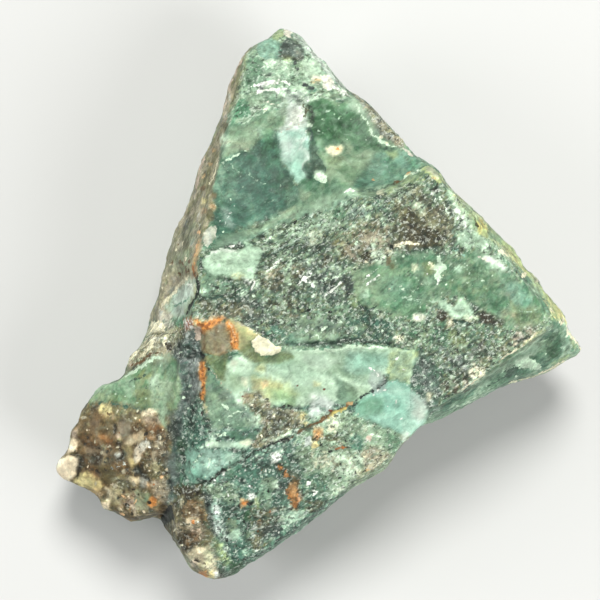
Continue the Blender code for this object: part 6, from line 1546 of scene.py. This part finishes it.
class Surface:
    """Colour, relief, roughness and wax of the stone at the points co (mm)."""

    def __init__(self, co, normal, marks, coloured=True):
        self.co = co
        self.uv = seen_at(co)
        facing = np.einsum("ij,ij->i", normal, towards_eye(co))
        self.seen = ease_step(-0.02, 0.1, facing)
        self.coloured = coloured
        self.waver = np.column_stack([
            0.8 * fractal(co, 1.5, 3, seed) + 0.8 * fractal(co, 0.55, 2, seed + 50) for seed in (31, 32)
        ])
        self.breaks = 0.5 + 0.5 * fractal(co, 0.9, 3, 91)
        self.mottle = fractal(co, 1.3, 4, 95, 0.7)
        self.thin = fractal(co, 1.9, 3, 97, 0.6)
        bent = co + 0.3 * np.column_stack([fractal(co, 0.9, 3, k) for k in (41, 42, 43)])
        deep, number = crystals(bent, 0.62, 44)
        self.chance = np.clip(0.7 * CHANCE[number, 1] + 0.3 * (0.5 + 0.5 * fractal(co, 0.5, 3, 45)), 0.02, 0.98)
        # what lies over the ground colour with a crisp edge: colour, how far inside, how opaque
        self.over, self.inside, self.opaque = np.zeros((len(co), 3)), np.zeros(len(co)), np.zeros(len(co))
        self.colour = np.zeros((len(co), 3))
        self.grain, self.wax, self.lift = np.zeros(len(co)), np.zeros(len(co)), np.zeros(len(co))
        self.lay("side_green", np.ones(len(co)))
        rind = ease_step(0.1, 0.45, fractal(co, 17.0, 3, 5) + 0.25 * fractal(co, 2.5, 3, 6))
        self.lay("side_rind", rind * 0.85)
        pale = ease_step(0.3, 0.6, fractal(co, 9.0, 3, 15))
        self.lay("crumbly_sage", pale * 0.6)
        for kind, name, values, points in marks:
            self.mark(kind, name, values, points)

    def mixed(self, name, only):
        """Colours of one kind of stone at some of the points."""
        if not self.coloured:
            return 0.0
        words, size, grain, wax = STONE[name]
        words = words.split()
        tones = np.array([COLOURS[word] for word in words[0::2]], dtype=float) / 255
        share = np.cumsum([float(word) for word in words[1::2]])
        share = share / share[-1]
        middle = np.concatenate(([share[0] / 2], (share[:-1] + share[1:]) / 2))
        seed = sum(map(ord, name)) % 97
        co = self.co[only]
        bent = co + 0.4 * size * np.column_stack([fractal(co, size * 1.3, 2, seed + k) for k in (1, 2, 3)])
        broad = 0.5 + 0.5 * fractal(co, size * 4.2, 3, seed + 20)
        made = np.zeros((len(co), 3))
        rim = np.zeros(len(co))
        for part, (weight, scale) in enumerate(((0.6, 1.0), (0.4, 0.55))):
            deep, number = crystals(bent, size * scale, seed + part)
            small = 0.5 + 0.5 * fractal(bent, size * 1.1 * scale, 3, seed + 30 + part)
            rank = 0.40 * CHANCE[number, 3] + 0.34 * small + 0.26 * broad
            rank = np.clip((rank - 0.5) * SPREAD + 0.5, 0, 0.9999)
            for axis in range(3):
                made[:, axis] += weight * np.interp(rank, middle, tones[:, axis])
            rim += weight * ease_step(0.22, 0.0, deep)
        return made * (1 - 0.16 * grain * rim)[:, None]

    def lay(self, name, cover):
        only = np.nonzero(cover > 0.004)[0]
        cover = cover[only]
        self.colour[only] += (self.mixed(name, only) - self.colour[only]) * cover[:, None]
        self.grain[only] += (STONE[name][2] - self.grain[only]) * cover
        self.wax[only] += (STONE[name][3] - self.wax[only]) * cover

    def mark(self, kind, name, values, points):
        edge = values.get("e", 1.3)
        width = values.get("w", 2.0)
        height = values.get("h", width)
        rag = max(values.get("r", 1.8), 1.4)
        crisp = name not in STONE and name != "-" and edge < 1.8
        if crisp:
            edge = 1.8
        reach = edge + 3.0 * rag + max(width, height) + 2
        low, high = points.min(0) - reach, points.max(0) + reach
        near = np.nonzero(((self.uv > low) & (self.uv < high)).all(1) & (self.seen > 0.01))[0]
        if not len(near):
            return
        where = self.uv[near] + rag * self.waver[near]
        if kind in ("area", "zone"):
            cover = ease_step(-edge, edge, inside_by(where, rounded(points, True)))
        elif kind == "line":
            away, at = along(where, rounded(points, False))
            taper = 1 - np.abs(2 * at - 1) ** 3 * values.get("p", 0.7)
            cover = ease_step(edge, -edge, away - 0.5 * width * taper)
        else:  # a spot
            turn = math.radians(values.get("t", 0.0))
            soft = edge / (0.5 * min(width, height))
            cover = np.zeros(len(where))
            for k, centre in enumerate(points):
                d = where - centre
                odd = CHANCE[int(centre[0] * 7 + centre[1] * 13 + k) % 256] if len(points) > 1 else (0.5, 0.5, 0, 0)
                tilt = turn + math.pi * odd[2]
                x = (d[:, 0] * math.cos(tilt) - d[:, 1] * math.sin(tilt)) / (0.5 * width * (0.8 + 0.8 * odd[0]))
                y = (d[:, 0] * math.sin(tilt) + d[:, 1] * math.cos(tilt)) / (0.5 * height * (0.6 + 0.5 * odd[1]))
                cover = np.maximum(cover, ease_step(1 + 0.5 * soft, 1 - 0.5 * soft, np.hypot(x, y)))
        near, cover = near[cover > 0.004], cover[cover > 0.004]
        cover = cover * self.seen[near]
        if "l" in values:
            self.lift[near] += values["l"] * cover
        broken, mix = values.get("b", 0.0), values.get("m", 1.0)
        colour = self.mixed(name, near) if name in STONE else self.colour[near]
        grain, wax = (STONE[name][2], STONE[name][3]) if name in STONE else (self.grain[near], self.wax[near])
        if name in COLOURS:
            # a mineral is never one even tone: it is mottled, and thin in places
            drift = self.mottle[near, None]
            colour = np.array(COLOURS[name], dtype=float) / 255 * (1 + 0.17 * drift)
            if kind == "area":
                share = min(1.6 * (1.05 - mix), 1.0)
                colour = colour + (self.colour[near] - colour) * share * np.clip(0.16 + 0.3 * self.thin[near, None], 0, 0.6)
        if crisp:
            cover = cover * (1 - broken)
            before = self.inside[near] * (1 - cover)
            after = np.maximum(before + cover, 1e-6)
            self.over[near] = (cover[:, None] * colour + before[:, None] * self.over[near]) / after[:, None]
            thick = mix if kind == "area" and mix < 0.85 else 1.5 * mix
            self.opaque[near] = (cover * thick + before * self.opaque[near]) / after
            self.inside[near] = after
            grain = grain * 0.7
        else:
            if broken:
                cover = cover * ease_step(broken - 0.14, broken + 0.14, self.breaks[near])
            cover = cover * mix
            if kind == "area" or name in STONE:
                granular = np.clip(1.6 * np.maximum(self.grain[near], grain) - 0.5, 0, 1)
                taken = ease_step(-0.16, 0.16, cover - self.chance[near])
                cover = cover + (taken - cover) * granular * 0.75
            self.colour[near] += (colour - self.colour[near]) * cover[:, None]
            self.inside[near] *= 1 - 0.5 * cover
        self.grain[near] += (values.get("g", grain) - self.grain[near]) * cover
        self.wax[near] += (values.get("s", wax) - self.wax[near]) * cover


def linear(c):
    return np.where(c <= 0.04045, c / 12.92, ((c + 0.055) / 1.055) ** 2.4)


# ------------------------------------------------------------------------ the material
def jade_material():
    material = bpy.data.materials.new("jade_stone")
    material.use_nodes = True
    tree = material.node_tree
    nodes, links = tree.nodes, tree.links
    shader = nodes["Principled BSDF"]

    def node(kind, **values):
        made = nodes.new(kind)
        for name, value in values.items():
            setattr(made, name, value)
        return made

    def maths(operation, a, b=None, c=None, clamp=False):
        made = node("ShaderNodeMath", operation=operation, use_clamp=clamp)
        for socket, value in zip(made.inputs, (a, b, c)):
            if value is None:
                continue
            if isinstance(value, (int, float)):
                socket.default_value = value
            else:
                links.new(value, socket)
        return made.outputs[0]

    def stretch(value, low, high, to_low=0.0, to_high=1.0, smooth=True):
        made = node("ShaderNodeMapRange", interpolation_type="SMOOTHSTEP" if smooth else "LINEAR")
        links.new(value, made.inputs["Value"])
        for name, number in zip(("From Min", "From Max", "To Min", "To Max"), (low, high, to_low, to_high)):
            made.inputs[name].default_value = number
        return made.outputs["Result"]

    def blend(factor, a, b, kind="MIX"):
        made = node("ShaderNodeMix", data_type="RGBA", blend_type=kind)
        links.new(factor, made.inputs[0])
        for socket, value in ((made.inputs[6], a), (made.inputs[7], b)):
            if isinstance(value, tuple):
                socket.default_value = value
            else:
                links.new(value, socket)
        return made.outputs[2]

    place_in = node("ShaderNodeTexCoord").outputs["Object"]

    # the grain is drawn out along the layers of the stone
    layers = node("ShaderNodeMapping", vector_type="TEXTURE")
    layers.inputs["Rotation"].default_value = (0, 0, math.radians(37))
    layers.inputs["Scale"].default_value = (1.35, 1, 1)
    links.new(place_in, layers.inputs["Vector"])
    place_along = layers.outputs["Vector"]

    def grain_noise(size, detail=3.0, rough=0.6, twist=0.0, where=None):
        made = node("ShaderNodeTexNoise")
        links.new(where or place_in, made.inputs["Vector"])
        made.inputs["Scale"].default_value = 1.0 / (size * MM)
        made.inputs["Detail"].default_value = detail
        made.inputs["Roughness"].default_value = rough
        made.inputs["Distortion"].default_value = twist
        return made.outputs["Fac"]

    def grain_cells(size, feature="F1"):
        made = node("ShaderNodeTexVoronoi", feature=feature)
        links.new(place_in, made.inputs["Vector"])
        made.inputs["Scale"].default_value = 1.0 / (size * MM)
        return made

    stone = node("ShaderNodeAttribute", attribute_name="stone").outputs["Color"]
    parts = node("ShaderNodeSeparateColor")
    links.new(node("ShaderNodeAttribute", attribute_name="make").outputs["Color"], parts.inputs[0])
    grain, wax, opaque = parts.outputs[0], parts.outputs[1], parts.outputs[2]
    over = node("ShaderNodeAttribute", attribute_name="over")

    # the crisp, ragged edge of what lies over the ground colour
    fray = stretch(grain_noise(0.5, 5.0, 0.66, 0.5), 0.28, 0.72, -0.44, 0.44, False)
    mask = stretch(maths("ADD", over.outputs["Alpha"], fray), 0.40, 0.60)
    veil = stretch(grain_noise(0.9, 3.0, 0.6, 0.6), 0.36, 0.58, 0.62, 1.0)
    colour = blend(maths("MULTIPLY", mask, maths("MULTIPLY", opaque, veil)), stone, over.outputs["Color"])

    # tone of the fine grain: single crystals and the dust between them
    fine = grain_noise(0.42, 4.0, 0.7)
    cells = grain_cells(0.42)
    cell_tone = node("ShaderNodeSeparateColor")
    links.new(cells.outputs["Color"], cell_tone.inputs[0])
    streaks = grain_noise(0.7, 4.0, 0.68, 0.15, place_along)
    drift = grain_noise(2.2, 3.0, 0.6, 0.5, place_along)
    tone = maths("ADD", stretch(fine, 0.3, 0.7, -0.5, 0.5, False), maths("MULTIPLY_ADD", cell_tone.outputs[0], 0.6, -0.3))
    tone = maths("ADD", tone, stretch(streaks, 0.3, 0.7, -0.42, 0.42, False))
    tone = maths("ADD", tone, stretch(drift, 0.3, 0.7, -0.35, 0.35, False))
    strength = maths("MULTIPLY_ADD", grain, 0.58, 0.16)
    factor = maths("MULTIPLY_ADD", tone, strength, 1.0)
    toned = node("ShaderNodeVectorMath", operation="SCALE")
    links.new(colour, toned.inputs[0])
    links.new(factor, toned.inputs["Scale"])
    colour = toned.outputs[0]

    # pale crystal faces, partly painted glints, and dark pits between the grains
    broken = stretch(grain, 0.35, 0.85)

    def share_of(value, share):
        made = node("ShaderNodeVectorMath", operation="SCALE")
        links.new(value, made.inputs[0])
        made.inputs["Scale"].default_value = share
        return made.outputs[0]

    def lit(value, share, far):
        return blend(far, share_of(value, share), (0.70, 0.76, 0.66, 1))

    # crystal faces stay tan where the stone is brown
    hue = node("ShaderNodeSeparateColor")
    links.new(colour, hue.inputs[0])
    warm = stretch(maths("SUBTRACT", hue.outputs[0], hue.outputs[1]), 0.0, 0.03)
    half = maths("MULTIPLY", maths("MULTIPLY_ADD", broken, 0.14, 0.36), maths("MULTIPLY_ADD", warm, -0.6, 1.0))
    flecks_and_glints = stretch(grain_noise(0.36, 3.0, 0.65, 0.15, place_along), 0.565, 0.61)
    sparse = maths("MULTIPLY", broken, maths("MULTIPLY_ADD", warm, -0.5, 1.0))
    colour = blend(maths("MULTIPLY", maths("MULTIPLY", flecks_and_glints, sparse), 0.76), colour, lit(colour, 1.5, half))
    crumbs = stretch(grain_noise(1.0, 5.0, 0.68, 0.3), 0.585, 0.62)
    colour = blend(maths("MULTIPLY", maths("MULTIPLY", crumbs, broken), maths("MULTIPLY_ADD", warm, 0.35, 0.5)), colour, lit(colour, 1.35, half))
    pits = stretch(grain_noise(0.5, 4.0, 0.64, 0.2, place_along), 0.435, 0.375)
    colour = blend(maths("MULTIPLY", maths("MULTIPLY", pits, broken), 0.78), colour, (0.024, 0.036, 0.024, 1))
    # nicks and darker scales where it broke smooth, fewest in the glassy pieces
    smooth = maths("MULTIPLY", maths("MULTIPLY_ADD", broken, -1.0, 1.0), maths("MULTIPLY_ADD", wax, -0.7, 1.0))
    nicks = stretch(grain_noise(0.6, 5.0, 0.7, 0.9, place_along), 0.575, 0.65)
    colour = blend(maths("MULTIPLY", maths("MULTIPLY", nicks, smooth), 0.55), colour, lit(colour, 1.3, maths("MULTIPLY", half, 0.5)))
    scales = stretch(grain_noise(1.0, 5.0, 0.68, 0.8, place_along), 0.47, 0.40)
    colour = blend(maths("MULTIPLY", maths("MULTIPLY", scales, smooth), 0.80), colour, share_of(colour, 0.58))
    # faint cloudy streaks in the waxy parts
    cloud = maths("MULTIPLY", stretch(grain_noise(1.5, 4.0, 0.62, 1.0, place_along), 0.50, 0.72), maths("MULTIPLY", wax, 0.30))
    colour = blend(cloud, colour, (0.50, 0.68, 0.52, 1))
    # deeper darks and clearer pale parts
    deeper = node("ShaderNodeGamma")
    links.new(colour, deeper.inputs["Color"])
    deeper.inputs["Gamma"].default_value = 1.12
    cooler = node("ShaderNodeVectorMath", operation="MULTIPLY")
    links.new(deeper.outputs[0], cooler.inputs[0])
    cooler.inputs[1].default_value = (1.17, 1.145, 1.18)
    links.new(cooler.outputs[0], shader.inputs["Base Color"])

    # waxy where it broke smooth, dull where it is granular
    gloss = maths("MULTIPLY_ADD", wax, -0.34, 0.66)
    rough = maths("ADD", gloss, maths("MULTIPLY_ADD", grain_noise(0.8, 3.0), 0.2, -0.1), clamp=True)
    links.new(rough, shader.inputs["Roughness"])
    shader.inputs["IOR"].default_value = 1.61
    shader.inputs["Specular IOR Level"].default_value = 0.22
    shader.inputs["Metallic"].default_value = 0.0

    height = maths("ADD", maths("MULTIPLY", fine, 0.7), maths("MULTIPLY", cells.outputs["Distance"], -0.45))
    bump = node("ShaderNodeBump")
    links.new(maths("MULTIPLY_ADD", grain, 0.42, 0.05), bump.inputs["Strength"])
    bump.inputs["Distance"].default_value = 0.22 * MM
    links.new(height, bump.inputs["Height"])
    links.new(bump.outputs["Normal"], shader.inputs["Normal"])
    return material


# ------------------------------------------------------------------------- the stone
def relief_of(co, surface):
    """Height in mm that the grains of a granular surface stand out by."""
    deep, number = crystals(co + 0.25 * np.column_stack([fractal(co, 0.8, 2, k) for k in (61, 62, 63)]), 0.95, 64)
    grains = 0.11 * (CHANCE[number, 0] - 0.5) + 0.07 * ease_step(0.0, 0.35, deep)
    lumps = 0.15 * fractal(co, 2.3, 4, 67, 0.55) + 0.05 * fractal(co, 0.6, 2, 68)
    return (grains + lumps) * (0.16 + 0.84 * surface.grain)


def build_stone():
    marks = read_marks(ZONES, APEX_MARKS, BROAD_MARKS, LOWER_MARKS, LEFT_MARKS)
    mesh = body_mesh()
    mesh.name = "raw_jade_stone"
    smoothed(mesh, 2, 0.5)
    split_seen_faces(mesh)
    smoothed(mesh, 2, 0.5)

    first = Surface(corners_of(mesh), normals_of(mesh), marks, coloured=False)
    coarse_relief(mesh, np.clip(1 - first.grain, 0, 1) * first.seen)
    co, normal = corners_of(mesh), normals_of(mesh)
    edges = np.empty(len(mesh.edges) * 2, dtype=np.int64)
    mesh.edges.foreach_get("vertices", edges)
    # marks lift or sink the surface along the line of sight, so that they stay where they are seen
    co = co + towards_eye(co) * first.lift[:, None]
    low = np.clip((co[:, 2] - 0.45) / 1.5, 0, 1)
    co = co + normal * (relief_of(co, first) * low)[:, None]
    # the flat fracture that it rests on, with a few shallow pits
    pits = ease_step(0.25, 0.6, fractal(co * (1, 1, 0), 5.0, 4, 71)) * 0.25
    flat = REST_CUT + np.where(co[:, 2] < REST_CUT - 0.3, pits, 0)
    co[:, 2] = np.maximum(co[:, 2], np.where(co[:, 2] < REST_CUT, flat, co[:, 2]))
    move_to(mesh, co)

    last = Surface(corners_of(mesh), normals_of(mesh), marks)
    # painted shade darkens the hollows and painted light brightens the edges
    deep = np.clip(hollowness(mesh) / 0.05, -1, 1)
    cavity_shade = 1 - 0.30 * np.maximum(deep, 0) + 0.16 * np.maximum(-deep, 0)
    colour = np.clip(last.colour * cavity_shade[:, None], 0, 1)
    painted = np.ones((len(colour), 4), dtype=np.float32)
    painted[:, :3] = linear(colour) * BRIGHT
    made = np.ones_like(painted)
    made[:, 0], made[:, 1], made[:, 2] = np.clip(last.grain, 0, 1), np.clip(last.wax, 0, 1), last.opaque
    over = np.empty_like(painted)
    over[:, :3], over[:, 3] = linear(np.clip(last.over, 0, 1)) * BRIGHT, last.inside
    for name, values in (("stone", painted), ("make", made), ("over", over)):
        layer = mesh.color_attributes.new(name, "FLOAT_COLOR", "POINT")
        layer.data.foreach_set("color", values.ravel())

    co = corners_of(mesh)
    co[:, 0] -= CENTRE[0]
    co[:, 1] -= CENTRE[1]
    co[:, 2] -= REST_CUT
    move_to(mesh, co)
    mesh.materials.clear()
    mesh.materials.append(jade_material())
    mesh.shade_smooth()
    stone = new_object("raw_jade_stone", mesh)
    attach(stone, "root")
    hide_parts("raw_jade")
    print("stone triangles", sum(len(face.vertices) - 2 for face in mesh.polygons))
    return stone


BRIGHT = np.array((0.80, 0.81, 0.76))  # share of the light that the colours give back, next to how they look
build_stone()


# ----------------------------------------------------------------- the floor and light
def plain(name, colour, rough):
    material = bpy.data.materials.new(name)
    material.use_nodes = True
    shader = material.node_tree.nodes["Principled BSDF"]
    shader.inputs["Base Color"].default_value = (*colour, 1)
    shader.inputs["Roughness"].default_value = rough
    return material


bm = bmesh.new()
bmesh.ops.create_circle(bm, cap_ends=True, segments=96, radius=4.0)
floor_mesh = bpy.data.meshes.new("floor")
bm.to_mesh(floor_mesh)
bm.free()
floor_mesh.materials.append(plain("floor", (0.60, 0.60, 0.59), 0.9))
floor = new_object("floor", floor_mesh)


def softbox(name, where, size, power, colour=(1, 1, 1)):
    light = bpy.data.lights.new(name, "AREA")
    light.shape, light.size, light.energy, light.color = "DISK", size, power, colour
    lamp = bpy.data.objects.new(name, light)
    lamp.location = where
    lamp.rotation_mode = "QUATERNION"
    lamp.rotation_quaternion = (Vector(where) - Vector((0, 0, 0.015))).to_track_quat("Z", "Y")
    bpy.context.scene.collection.objects.link(lamp)
    return lamp


softbox("key", (0.03, 0.36, 0.63), 0.26, 4.8, (1.0, 1.0, 0.97))
softbox("fill", (0.50, -0.32, 0.50), 0.5, 3.9, (1.0, 1.0, 1.0))
softbox("side", (-0.60, 0.00, 0.36), 0.4, 1.8, (1.0, 1.0, 1.0))
world = bpy.data.worlds.new("studio")
world.use_nodes = True
world.node_tree.nodes["Background"].inputs["Color"].default_value = (0.97, 1.0, 0.97, 1)
world.node_tree.nodes["Background"].inputs["Strength"].default_value = 0.25
bpy.context.scene.world = world
bpy.context.scene.view_settings.view_transform = "Standard"

# -------------------------------------------------------------------------- the camera
lens = bpy.data.cameras.new("camera")
lens.sensor_width = 36.0
lens.lens = 36.0 * EYE / (600 * UNIT)
lens.clip_start, lens.clip_end = 0.01, 20.0
camera = bpy.data.objects.new("camera", lens)
camera.location = (
    (ORIGIN[0] - CENTRE[0]) * MM, (ORIGIN[1] - CENTRE[1]) * MM, (REF_Z + EYE - REST_CUT) * MM
)
bpy.context.scene.collection.objects.link(camera)
bpy.context.scene.camera = camera
